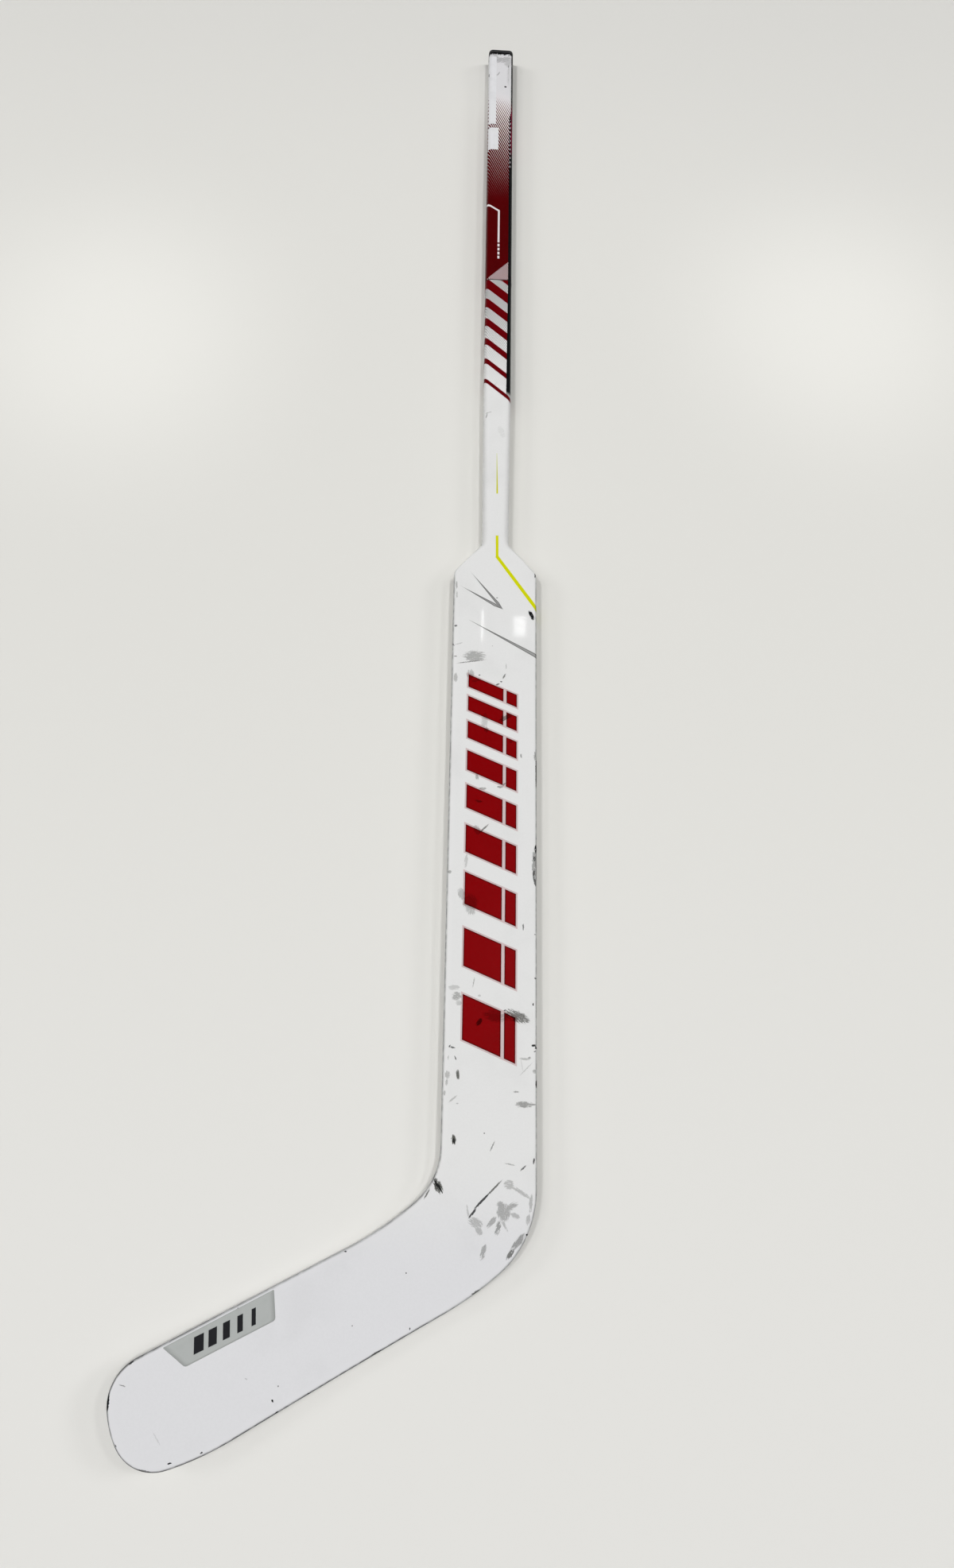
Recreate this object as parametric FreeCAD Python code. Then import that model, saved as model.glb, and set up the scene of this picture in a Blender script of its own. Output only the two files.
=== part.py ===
import FreeCAD, Part
import math
import os

from FreeCAD import Vector

# A goalkeeper's ice hockey stick lying on its back, in millimetres. X runs across the paddle, Y up the shaft
# and Z out of the front face. The origin is the middle of the paddle's flat back, on the shaft's axis.

# Shaft: a hollow laminated tube with a rounded rectangular section
SHAFT_WIDTH = 29.6
SHAFT_DEPTH = 20.0
SHAFT_CORNER = 5.0
SHAFT_WALL = 2.0
SHAFT_LENGTH = 670.0

# Grip: the shaft's lowest stretch, a little narrower, with wide bevels on its front
GRIP_LENGTH = 160.0
GRIP_WIDTH = 28.0
GRIP_FRONT_CORNER = 8.0

# Splice: the joint between the two tubes, over a sleeve bonded inside them
SPLICE_HEIGHT = 325.0
SPLICE_SLEEVE_LENGTH = 110.0
SPLICE_SLEEVE_WALL = 1.5

# Butt plug: a cap with a stem that slides into the tube
CAP_LENGTH = 4.0
CAP_EDGE = 1.6
PLUG_STEM_LENGTH = 45.0
PLUG_CLEARANCE = 0.3
PLUG_LEAD = 2.0

# Tenon: the stem that joins the shaft to the paddle
TENON_IN_SHAFT = 90.0
TENON_IN_PADDLE = 110.0
SOCKET_FLOOR = 41.0

# Paddle, from the heel's corner to the shoulder's corner
PADDLE_LENGTH = 660.4
PADDLE_WIDTH = 86.0
PADDLE_DEPTH = 20.0
SHOULDER_ANGLE = 49.5
SHOULDER_CORNER = 11.0
NECK_LENGTH = 12.0
NECK_CORNER = 8.0

# Heel: the shaft stands at the lie angle to the sole, with a tight arc and a wide one between them
LIE_ANGLE = 119.0
HEEL_RADIUS = 90.0
HEEL_TURN = 50.5
HEEL_SOLE_RADIUS = 320.0

# Blade, measured along the sole from the heel's corner, and across from the sole
BLADE_LENGTH = 370.4
BLADE_TOE_WIDTH = 93.9
BLADE_TAPER_ANGLE = 2.25
THROAT_RADIUS = 61.0
THROAT_BLADE_RADIUS = 290.0
THROAT_BLADE_TURN = 13.7
ROCKER_RADIUS = 235.0
ROCKER_TURN = 13.3
TOE_LOW_RADIUS = 37.5
TOE_LOW_TURN = 75.9
TOE_FRONT_TURN = 19.8
TOE_TOP_RADIUS = 36.0

# Thickness of the blade, and the curve that lifts its toe off the surface
TAPER_START = 10.0
TAPER_END = 150.0
BLADE_DEPTH = 13.0
TOE_DEPTH = 9.0
CURVE_START = 110.0
CURVE_RISE = 16.0
CURVE_STEPS = 16

# Laminate skins, and the edge band between them
SKIN_WALL = 1.5
SKIN_EDGE = 3.0
BAND_LOW_SHARE = 0.35
BAND_HIGH_SHARE = 0.65

# Cores and webs inside the skins
CENTER_CORE_WIDTH = 30.0
RIB_THICKNESS = 2.0
HEEL_BLOCK_HEIGHT = 115.0
BLADE_CORE_START = 95.0
BRIDGE_THICKNESS = 4.0
BRIDGE_FROM_SOLE = 43.0

# Films stuck on the shaft's front and on the blade
FILM_THICKNESS = 0.15
STRIP_WIDTH = 8.6
STRIP_LENGTH = 105.8
STRIP_FROM_BUTT = 12.0
STRIP_FROM_SIDE = 0.7
LABEL_WIDTH = 12.2
LABEL_LENGTH = 32.8
LABEL_FROM_BUTT = 123.9
LABEL_FROM_SIDE = 0.4
TOE_LABEL_LONG_SIDE = 97.0
TOE_LABEL_SHORT_SIDE = 79.0
TOE_LABEL_HEIGHT = 21.0
TOE_LABEL_FROM_TOE = 64.0
TOE_LABEL_FROM_EDGE = 4.5
TOE_LABEL_SLANT = 9.0
TOE_LABEL_CLEARANCE = 0.45

# Fits
BOND_GAP = 0.15
OVERRUN = 20.0
TOUCH = 0.01

# Places that follow from those sizes
HALF_WIDTH = PADDLE_WIDTH / 2
HALF_NECK = GRIP_WIDTH / 2
SHOULDER_Y = PADDLE_LENGTH / 2
HEEL_Y = -PADDLE_LENGTH / 2
NECK_FOOT_Y = SHOULDER_Y + (HALF_WIDTH - HALF_NECK) * math.tan(math.radians(SHOULDER_ANGLE))
NECK_Y = NECK_FOOT_Y + NECK_LENGTH
BUTT_Y = NECK_Y + SHAFT_LENGTH
SPLICE_Y = NECK_Y + SPLICE_HEIGHT
TENON_Y = NECK_Y - TENON_IN_PADDLE
SHOULDER_BLOCK_Y = TENON_Y - SOCKET_FLOOR
HEEL_BLOCK_Y = HEEL_Y + HEEL_BLOCK_HEIGHT
CAP_Y = BUTT_Y - CAP_LENGTH
SOLE_SLOPE = math.radians(LIE_ANGLE - 90)
HEEL_CORNER = Vector(HALF_WIDTH, HEEL_Y, 0)
ALONG = Vector(-math.cos(SOLE_SLOPE), -math.sin(SOLE_SLOPE), 0)
ACROSS = Vector(-math.sin(SOLE_SLOPE), math.cos(SOLE_SLOPE), 0)
UP = Vector(0, 0, 1)


def on_blade(along, across, height=0.0):
    """A point measured along the sole from the heel's corner, across the blade and up."""
    return HEEL_CORNER + ALONG * along + ACROSS * across + UP * height


def rounded_wire(corners):
    """A closed wire through corner points, each a pair of a point and the radius that rounds it."""
    edges = []
    last = None
    count = len(corners)
    first = None
    for index, (point, radius) in enumerate(corners):
        before = (corners[index - 1][0] - point).normalize()
        after = (corners[(index + 1) % count][0] - point).normalize()
        half_angle = before.getAngle(after) / 2
        tangent = radius / math.tan(half_angle)
        start = point + before * tangent
        end = point + after * tangent
        if last is not None and last.distanceToPoint(start) > TOUCH:
            edges.append(Part.makeLine(last, start))
        if radius > 0:
            bisector = (before + after).normalize()
            middle = point + bisector * (radius / math.sin(half_angle) - radius)
            edges.append(Part.Arc(start, middle, end).toShape())
        if first is None:
            first = start
        last = end
    edges.append(Part.makeLine(last, first))
    return Part.Wire(edges)


def tangent_length(radius, turn):
    """Length of an arc's tangent, from its end to its corner; the turn is in degrees."""
    return radius * math.tan(math.radians(turn) / 2)


def two_arcs(corner, way_in, way_out, radius, turn, next_radius):
    """The two corners whose arcs round one corner: an arc of a given turn, then one of the turn that is left."""
    whole_turn = math.degrees(way_in.getAngle(way_out))
    next_turn = whole_turn - turn
    apart = tangent_length(radius, turn) + tangent_length(next_radius, next_turn)
    scale = apart / math.sin(math.radians(whole_turn))
    before = scale * math.sin(math.radians(next_turn))
    after = scale * math.sin(math.radians(turn))
    return [(corner - way_in * before, radius), (corner + way_out * after, next_radius)]


def toe_arcs():
    """Radius and turn of the four arcs round the toe from the sole; the front one follows the blade's width."""
    top_turn = 180 + BLADE_TAPER_ANGLE - ROCKER_TURN - TOE_LOW_TURN - TOE_FRONT_TURN
    turns = [ROCKER_TURN, TOE_LOW_TURN, TOE_FRONT_TURN, top_turn]
    headings = [0.0]
    for turn in turns:
        headings.append(headings[-1] + math.radians(turn))
    climbs = [math.cos(a) - math.cos(b) for a, b in zip(headings, headings[1:])]
    others = ROCKER_RADIUS * climbs[0] + TOE_LOW_RADIUS * climbs[1] + TOE_TOP_RADIUS * climbs[3]
    front_radius = (BLADE_TOE_WIDTH - others) / climbs[2]
    radii = [ROCKER_RADIUS, TOE_LOW_RADIUS, front_radius, TOE_TOP_RADIUS]
    return list(zip(radii, turns)), headings


def toe_corners():
    """The corners whose arcs round the toe, and the place where the last arc meets the blade's top edge."""
    arcs, headings = toe_arcs()
    low_end = math.sin(headings[2])
    reach = arcs[0][0] * math.sin(headings[1]) + arcs[1][0] * (low_end - math.sin(headings[1]))
    reach += arcs[2][0] * (1 - low_end)
    along, across = BLADE_LENGTH - reach, 0.0
    corners = []
    for (radius, turn), heading in zip(arcs, headings):
        tangent = tangent_length(radius, turn)
        along += tangent * math.cos(heading)
        across += tangent * math.sin(heading)
        corners.append((on_blade(along, across), radius))
        along += tangent * math.cos(heading + math.radians(turn))
        across += tangent * math.sin(heading + math.radians(turn))
    return corners, along, across


def outline(neck_top):
    """The front outline of paddle, heel and blade, closed across the neck at the given height."""
    toe, end_along, end_across = toe_corners()
    top_heading = math.radians(BLADE_TAPER_ANGLE)
    top_end = on_blade(end_along, end_across)
    top_way = ALONG * -math.cos(top_heading) - ACROSS * math.sin(top_heading)
    throat = top_end + top_way * ((-HALF_WIDTH - top_end.x) / top_way.x)
    return rounded_wire([
        (Vector(HALF_NECK, neck_top, 0), 0.0),
        (Vector(HALF_NECK, NECK_FOOT_Y, 0), NECK_CORNER),
        (Vector(HALF_WIDTH, SHOULDER_Y, 0), SHOULDER_CORNER),
        *two_arcs(HEEL_CORNER, Vector(0, -1, 0), ALONG, HEEL_RADIUS, HEEL_TURN, HEEL_SOLE_RADIUS),
        *toe,
        *two_arcs(throat, top_way, Vector(0, 1, 0), THROAT_BLADE_RADIUS, THROAT_BLADE_TURN, THROAT_RADIUS),
        (Vector(-HALF_WIDTH, SHOULDER_Y, 0), SHOULDER_CORNER),
        (Vector(-HALF_NECK, NECK_FOOT_Y, 0), NECK_CORNER),
        (Vector(-HALF_NECK, neck_top, 0), 0.0),
    ])


def lift(along):
    """Height of the back face above the surface, which the blade's curve raises towards the toe."""
    span = BLADE_LENGTH - CURVE_START
    return CURVE_RISE * (max(along - CURVE_START, 0.0) / span) ** 2


def depth(along):
    """Thickness of paddle and blade: full, then eased down at the heel and tapered to the toe."""
    eased = min(max((along - TAPER_START) / (TAPER_END - TAPER_START), 0.0), 1.0)
    eased = eased * eased * (3 - 2 * eased)
    thinning = max(along - TAPER_END, 0.0) / (BLADE_LENGTH - TAPER_END)
    blade = BLADE_DEPTH + (TOE_DEPTH - BLADE_DEPTH) * thinning
    return PADDLE_DEPTH + (blade - PADDLE_DEPTH) * eased


def level(share, offset):
    """Edges of one level through the thickness, in a plane beside the sole: flat, then curved past the toe."""
    start = CURVE_START if share == 0 else TAPER_START
    end = BLADE_LENGTH + OVERRUN
    places = [start + (end - start) * step / CURVE_STEPS for step in range(CURVE_STEPS + 1)]
    points = [on_blade(s, -OVERRUN, lift(s) + share * depth(s) + offset) for s in places]
    far = on_blade(-(NECK_Y - HEEL_Y), -OVERRUN, share * PADDLE_DEPTH + offset)
    curve = Part.BSplineCurve()
    curve.interpolate(Points=points, InitialTangent=ALONG, FinalTangent=points[-1] - points[-2])
    return [Part.makeLine(far, points[0]), curve.toShape()], far, points[-1]


def slab(low_share, low_offset, high_share, high_offset):
    """The space between two levels, over the whole stick below the shaft."""
    low_edges, low_far, low_end = level(low_share, low_offset)
    high_edges, high_far, high_end = level(high_share, high_offset)
    ends = [Part.makeLine(low_far, high_far), Part.makeLine(low_end, high_end)]
    wire = Part.Wire(Part.__sortEdges__(low_edges + high_edges + ends))
    return Part.Face(wire).extrude(ACROSS * (NECK_Y - HEEL_Y + PADDLE_WIDTH + OVERRUN))


def column(wire):
    """The outline as an upright solid through the whole thickness."""
    low = -OVERRUN
    high = PADDLE_DEPTH + CURVE_RISE + OVERRUN
    face = Part.Face(wire)
    face.translate(UP * low)
    return face.extrude(UP * (high - low))


def inset_body(inset, neck_top):
    """The moulded body drawn in by an inset on every side but the neck's end."""
    wire = outline(neck_top + inset)
    if inset > 0:
        wire = wire.makeOffset2D(-inset)
    return column(wire).common(slab(0, inset, 1, -inset))


def round_edges(body):
    """The moulded body with its front and back edges rounded all along the outline."""
    border = outline(NECK_Y)
    picked = []
    for edge in body.Edges:
        middle = edge.valueAt((edge.FirstParameter + edge.LastParameter) / 2)
        tangent = edge.tangentAt((edge.FirstParameter + edge.LastParameter) / 2)
        upright = abs(tangent.z) > math.cos(math.radians(45))
        foot = Part.Vertex(Vector(middle.x, middle.y, 0))
        at_neck = middle.y > NECK_Y - TOUCH
        if not upright and not at_neck and border.distToShape(foot)[0] < TOUCH:
            picked.append(edge)
    return body.makeFillet(SKIN_EDGE, picked)


def skins():
    """Front skin, back skin and the edge band between them."""
    body = round_edges(inset_body(0.0, NECK_Y))
    shell = body.cut(inset_body(SKIN_WALL, NECK_Y + OVERRUN))
    half_gap = BOND_GAP / 2
    return {
        "front_skin": shell.common(slab(BAND_HIGH_SHARE, half_gap, 1, OVERRUN)),
        "back_skin": shell.common(slab(0, -OVERRUN, BAND_LOW_SHARE, -half_gap)),
        "edge_band": shell.common(slab(BAND_LOW_SHARE, half_gap, BAND_HIGH_SHARE, -half_gap)),
    }


def block(low_x, high_x, low_y, high_y):
    """An upright block between two places across the paddle and two along it."""
    low = Vector(low_x, low_y, -OVERRUN)
    return Part.makeBox(high_x - low_x, high_y - low_y, PADDLE_DEPTH + CURVE_RISE + OVERRUN * 2, low)


def blade_block(low_along, high_along, low_across, high_across):
    """An upright block between two places along the blade and two across it."""
    corners = [
        on_blade(low_along, low_across, -OVERRUN),
        on_blade(high_along, low_across, -OVERRUN),
        on_blade(high_along, high_across, -OVERRUN),
        on_blade(low_along, high_across, -OVERRUN),
    ]
    face = Part.Face(Part.makePolygon(corners + corners[:1]))
    return face.extrude(UP * (PADDLE_DEPTH + CURVE_RISE + OVERRUN * 2))


def section(width, front_corner, back_corner, y, inset):
    """A rounded rectangular section of the shaft at one height, drawn in by an inset on every side."""
    half = width / 2 - inset
    low, high = inset, SHAFT_DEPTH - inset
    back = max(back_corner - inset, 0.0)
    front = max(front_corner - inset, 0.0)
    return rounded_wire([
        (Vector(-half, y, low), back),
        (Vector(half, y, low), back),
        (Vector(half, y, high), front),
        (Vector(-half, y, high), front),
    ])


def shaft_section(y, inset=0.0):
    """The shaft's plain section, above the grip."""
    return section(SHAFT_WIDTH, SHAFT_CORNER, SHAFT_CORNER, y, inset)


def grip_section(y, inset=0.0):
    """The section at the foot of the grip, where the shaft meets the neck."""
    return section(GRIP_WIDTH, GRIP_FRONT_CORNER, SHAFT_CORNER, y, inset)


def run(wire, length):
    """A solid that carries a section up the shaft."""
    return Part.Face(wire).extrude(Vector(0, length, 0))


def lower_tube_solid(inset, overrun):
    """The lower tube's outside, or its bore: the grip blends one section into the other, then runs straight."""
    foot = NECK_Y
    grip_top = NECK_Y + GRIP_LENGTH
    grip = Part.makeLoft([grip_section(foot, inset), shaft_section(grip_top, inset)], True, True)
    straight = run(shaft_section(grip_top, inset), SPLICE_Y - BOND_GAP + overrun - grip_top)
    solid = grip.fuse(straight)
    if overrun > 0:
        solid = solid.fuse(run(grip_section(foot - overrun, inset), overrun))
    return solid


def shaft_pieces():
    """The two tubes, the sleeve behind their joint and the tenon in the lower one."""
    lower = lower_tube_solid(0.0, 0.0).cut(lower_tube_solid(SHAFT_WALL, OVERRUN))
    upper_length = CAP_Y - BOND_GAP - SPLICE_Y
    bore = run(shaft_section(SPLICE_Y - OVERRUN, SHAFT_WALL), upper_length + OVERRUN * 2)
    upper = run(shaft_section(SPLICE_Y), upper_length).cut(bore)
    sleeve_foot = SPLICE_Y - SPLICE_SLEEVE_LENGTH / 2
    sleeve_outside = SHAFT_WALL + BOND_GAP
    sleeve_inside = sleeve_outside + SPLICE_SLEEVE_WALL
    sleeve_bore = run(shaft_section(sleeve_foot - OVERRUN, sleeve_inside), SPLICE_SLEEVE_LENGTH + OVERRUN * 2)
    sleeve = run(shaft_section(sleeve_foot, sleeve_outside), SPLICE_SLEEVE_LENGTH).cut(sleeve_bore)
    return {
        "shaft_lower_tube": lower,
        "shaft_upper_tube": upper,
        "splice_insert": sleeve,
        "shaft_tenon": tenon(BOND_GAP),
    }


def tenon(gap):
    """The tenon's stem, or its socket where the gap is zero."""
    return run(grip_section(TENON_Y, SHAFT_WALL + gap), TENON_IN_PADDLE + TENON_IN_SHAFT)


def butt_plug():
    """The cap with its rounded end, and the stem with a lead-in, as one moulding."""
    cap = run(shaft_section(CAP_Y), CAP_LENGTH)
    rim = [edge for edge in cap.Edges if edge.BoundBox.YMin > BUTT_Y - TOUCH]
    cap = cap.makeFillet(CAP_EDGE, rim)
    inset = SHAFT_WALL + PLUG_CLEARANCE
    stem_foot = CAP_Y - PLUG_STEM_LENGTH
    stem = run(shaft_section(stem_foot, inset), PLUG_STEM_LENGTH)
    tip = [edge for edge in stem.Edges if edge.BoundBox.YMax < stem_foot + TOUCH]
    return cap.fuse(stem.makeChamfer(PLUG_LEAD, tip)).removeSplitter()


def paddle_cores(filling):
    """Three foam strips and two webs side by side, between the heel block and the shoulder block."""
    half_center = CENTER_CORE_WIDTH / 2
    rib_near = half_center + BOND_GAP
    rib_far = rib_near + RIB_THICKNESS
    side_near = rib_far + BOND_GAP
    spans = {
        "paddle_left_core": (-PADDLE_WIDTH, -side_near),
        "paddle_left_rib": (-rib_far, -rib_near),
        "paddle_center_core": (-half_center, half_center),
        "paddle_right_rib": (rib_near, rib_far),
        "paddle_right_core": (side_near, PADDLE_WIDTH),
    }
    return {name: filling.common(block(*span, HEEL_BLOCK_Y, SHOULDER_BLOCK_Y)) for name, span in spans.items()}


def hard_blocks(filling):
    """The shoulder block with the tenon's socket, and the heel block in the elbow."""
    shoulder_foot = SHOULDER_BLOCK_Y + BOND_GAP
    shoulder_head = NECK_FOOT_Y - NECK_CORNER
    shoulder = filling.common(block(-PADDLE_WIDTH, PADDLE_WIDTH, shoulder_foot, shoulder_head))
    heel_head = HEEL_BLOCK_Y - BOND_GAP
    heel_foot = HEEL_Y - PADDLE_LENGTH
    heel = filling.common(block(-PADDLE_LENGTH, PADDLE_WIDTH, heel_foot, heel_head))
    past_toe = BLADE_LENGTH + OVERRUN
    blade_space = blade_block(BLADE_CORE_START - BOND_GAP, past_toe, -OVERRUN, PADDLE_LENGTH)
    return {"shoulder_block": shoulder.cut(tenon(0.0)), "heel_block": heel.cut(blade_space)}


def blade_cores(filling):
    """Two foam strips with a web between them, from the heel block to the toe."""
    past_toe = BLADE_LENGTH + OVERRUN
    bridge_low = BRIDGE_FROM_SOLE
    bridge_high = bridge_low + BRIDGE_THICKNESS
    past_top = BLADE_TOE_WIDTH + OVERRUN
    spans = {
        "blade_lower_core": (-OVERRUN, bridge_low - BOND_GAP),
        "blade_bridge": (bridge_low, bridge_high),
        "blade_upper_core": (bridge_high + BOND_GAP, past_top),
    }
    return {
        name: filling.common(blade_block(BLADE_CORE_START, past_toe, low, high))
        for name, (low, high) in spans.items()
    }


def shaft_film(width, length, from_butt, from_side):
    """A film laid on the shaft's front, over the rounded corner on the toe's side."""
    foot = BUTT_Y - from_butt - length
    coat = run(shaft_section(foot, -FILM_THICKNESS), length).cut(run(shaft_section(foot), length))
    low_x = from_side - SHAFT_WIDTH / 2
    front = Vector(low_x, foot, SHAFT_DEPTH / 2)
    return coat.common(Part.makeBox(width, length, SHAFT_DEPTH, front))


def toe_label():
    """The slanted film on the blade's front, along its top edge near the toe."""
    far = BLADE_LENGTH - TOE_LABEL_FROM_TOE
    near = far - TOE_LABEL_LONG_SIDE
    taper = math.tan(math.radians(BLADE_TAPER_ANGLE))
    far_top = BLADE_TOE_WIDTH - TOE_LABEL_FROM_EDGE
    near_top = far_top - TOE_LABEL_LONG_SIDE * taper
    low_near = near + TOE_LABEL_SLANT
    low_far = low_near + TOE_LABEL_SHORT_SIDE
    places = [
        (near, near_top),
        (far, far_top),
        (low_far, far_top - TOE_LABEL_HEIGHT),
        (low_near, near_top - TOE_LABEL_HEIGHT),
    ]
    corners = [on_blade(along, across, 0) for along, across in places]
    shape = column(Part.makePolygon(corners + corners[:1]))
    return shape.common(slab(1, TOE_LABEL_CLEARANCE, 1, TOE_LABEL_CLEARANCE + FILM_THICKNESS))


def build():
    """Every piece of the stick, by name."""
    filling = inset_body(SKIN_WALL + BOND_GAP, NECK_Y + OVERRUN)
    pieces = {"butt_end_plug": butt_plug(), "toe_label": toe_label()}
    pieces.update(shaft_pieces())
    pieces.update(skins())
    pieces.update(paddle_cores(filling))
    pieces.update(hard_blocks(filling))
    pieces.update(blade_cores(filling))
    pieces["shaft_strip_sticker"] = shaft_film(STRIP_WIDTH, STRIP_LENGTH, STRIP_FROM_BUTT, STRIP_FROM_SIDE)
    pieces["shaft_label_sticker"] = shaft_film(LABEL_WIDTH, LABEL_LENGTH, LABEL_FROM_BUTT, LABEL_FROM_SIDE)
    return pieces


os.makedirs("parts", exist_ok=True)
for piece_name, shape in build().items():
    print(f"{piece_name}: {len(shape.Solids)} solid, {shape.Volume:.0f} mm3, valid {shape.isValid()}")
    shape.exportStep(f"parts/{piece_name}.step")
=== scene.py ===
# %% [markdown]
# # A goalkeeper's stick on a pale table
# The stick lies on its back, with X across the paddle, Y up the shaft and Z out of the front face, in
# metres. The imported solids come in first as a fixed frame. Everything below is made in that same frame, so
# a piece goes where its solid already is and never has to be fitted by eye.

# %% Load the frame
import math

import bmesh
import bpy
import numpy as np
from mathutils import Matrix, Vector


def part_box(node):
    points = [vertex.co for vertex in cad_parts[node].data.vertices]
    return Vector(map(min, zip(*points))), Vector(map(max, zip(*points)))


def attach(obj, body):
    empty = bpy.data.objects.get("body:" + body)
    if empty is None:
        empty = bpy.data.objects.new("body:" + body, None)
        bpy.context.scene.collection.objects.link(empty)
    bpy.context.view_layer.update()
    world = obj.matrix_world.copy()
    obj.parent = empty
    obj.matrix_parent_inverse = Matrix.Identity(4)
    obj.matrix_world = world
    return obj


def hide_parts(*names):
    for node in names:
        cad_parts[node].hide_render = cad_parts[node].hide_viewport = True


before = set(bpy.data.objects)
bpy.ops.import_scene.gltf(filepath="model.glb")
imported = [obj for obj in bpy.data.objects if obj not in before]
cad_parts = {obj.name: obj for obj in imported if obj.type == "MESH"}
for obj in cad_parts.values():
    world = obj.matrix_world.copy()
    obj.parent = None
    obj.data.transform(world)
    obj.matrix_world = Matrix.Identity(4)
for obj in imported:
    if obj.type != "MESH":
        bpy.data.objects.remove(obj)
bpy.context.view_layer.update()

# %% [markdown]
# ## Camera
# The photograph was taken from above the blade, with a wide lens, so the shaft runs away from us and looks
# thin. The lens is not known. A focal length of 1380 pixels, about 25 mm on a 36 mm sensor, was chosen
# because the stick then gets sizes like those of real ones. The edges of paddle and shaft fix the camera's
# place and tilt for it.

# %% Camera
IMAGE_HEIGHT, FOCAL_LENGTH, SENSOR_WIDTH = 1973.0, 1380.0, 36.0
CAMERA_PLACE, CAMERA_TILT = (-0.068566, -0.2149, 1.04437), (0.2965, -0.0561, 0.0150)
camera_lens = bpy.data.cameras.new("photo_camera")
camera_lens.sensor_width = SENSOR_WIDTH
camera_lens.lens = SENSOR_WIDTH * FOCAL_LENGTH / IMAGE_HEIGHT
camera = bpy.data.objects.new("photo_camera", camera_lens)
camera.location = CAMERA_PLACE
camera.rotation_euler = CAMERA_TILT
bpy.context.scene.collection.objects.link(camera)
bpy.context.scene.camera = camera
bpy.context.scene.view_settings.view_transform = "Standard"
print("camera lens in mm:", round(camera_lens.lens, 2))

# %% [markdown]
# ## Sizes of the stick
# These are real sizes in millimetres, the ones that drive the solids too. Where the neck, the splice and
# the butt lie is read off the frame. Every place below is worked out from these names, so the pieces stay
# on their solids.

# %% Driving sizes
SHAFT_WIDTH, SHAFT_DEPTH, SHAFT_CORNER, SHAFT_WALL = 29.6, 20.0, 5.0, 2.0
GRIP_LENGTH, GRIP_WIDTH, GRIP_FRONT_CORNER = 160.0, 28.0, 8.0
CAP_LENGTH, CAP_EDGE = 4.0, 1.6
PLUG_STEM_LENGTH, PLUG_CLEARANCE, PLUG_LEAD = 45.0, 0.3, 2.0
PADDLE_LENGTH, PADDLE_WIDTH, PADDLE_DEPTH = 660.4, 86.0, 20.0
SHOULDER_CORNER, NECK_LENGTH, NECK_CORNER = 11.0, 12.0, 8.0
LIE_ANGLE, HEEL_RADIUS, HEEL_TURN, HEEL_SOLE_RADIUS = 119.0, 90.0, 50.5, 320.0
BLADE_LENGTH, BLADE_TOE_WIDTH, BLADE_TAPER_ANGLE = 370.4, 93.9, 2.25
THROAT_BLADE_RADIUS, THROAT_BLADE_TURN, THROAT_RADIUS = 290.0, 13.7, 61.0
ROCKER_RADIUS, ROCKER_TURN = 235.0, 13.3
TOE_LOW_RADIUS, TOE_LOW_TURN, TOE_FRONT_TURN, TOE_TOP_RADIUS = 37.5, 75.9, 19.8, 36.0
TAPER_START, TAPER_END, BLADE_DEPTH, TOE_DEPTH = 10.0, 150.0, 13.0, 9.0
CURVE_START, CURVE_RISE = 110.0, 16.0
BODY_EDGE, BACK_CORNER, BEVEL_END_ABOVE_SHOULDER = 3.0, 5.0, 15.0

# %% Places on the frame
MM = 1000.0
NECK_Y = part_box("shaft_lower_tube")[0][1] * MM
SPLICE_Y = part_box("shaft_upper_tube")[0][1] * MM
BUTT_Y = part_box("butt_end_plug")[1][1] * MM
CAP_Y = BUTT_Y - CAP_LENGTH
GRIP_TOP_Y = NECK_Y + GRIP_LENGTH
NECK_FOOT_Y = NECK_Y - NECK_LENGTH
SHOULDER_Y = PADDLE_LENGTH / 2
HALF_SHAFT, HALF_NECK, HALF_WIDTH = SHAFT_WIDTH / 2, GRIP_WIDTH / 2, PADDLE_WIDTH / 2
HEEL_CORNER = np.array([HALF_WIDTH, -SHOULDER_Y])
SOLE_SLOPE = math.radians(LIE_ANGLE - 90.0)
ALONG = np.array([-math.cos(SOLE_SLOPE), -math.sin(SOLE_SLOPE)])
ACROSS = np.array([-math.sin(SOLE_SLOPE), math.cos(SOLE_SLOPE)])
print("neck, splice and butt in mm:", round(NECK_Y, 2), round(SPLICE_Y, 2), round(BUTT_Y, 2))

# %% [markdown]
# ## The outline as one path
# Paddle, heel and blade are moulded as one body, so one closed line is enough to describe them from the
# front. It could be drawn as a curve object, but a list of corners with a radius each is easier to read and
# to change: every corner is cut back and an arc turns from one side to the other. The path starts at the
# shaft's splice on the right, runs down and round the toe, and climbs back on the left. Heel and throat
# turn in two arcs each, a tight one next to the paddle and a wide one next to the blade.

# %% Corners of the heel, the throat and the toe
def on_blade(along, across):
    """A place on the blade: so far along the sole from the heel's corner, and so far across from the
    sole."""
    return HEEL_CORNER + ALONG * along + ACROSS * across


def cut_back(radius, turn):
    """How far before its corner an arc starts: the radius times the tangent of half the turn."""
    return radius * math.tan(turn / 2)


def two_arcs(corner, way_in, way_out, radius, turn, next_radius):
    """Two corners in place of one, for an arc of a given turn and then one for the turn that is left.
    The three corners make a triangle. Its one side is the sum of both cuts, and the law of sines gives
    the other two."""
    whole = math.acos(way_in @ way_out)
    scale = (cut_back(radius, turn) + cut_back(next_radius, whole - turn)) / math.sin(whole)
    before = corner - way_in * scale * math.sin(whole - turn)
    after = corner + way_out * scale * math.sin(turn)
    return [(*before, radius), (*after, next_radius)]


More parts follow.
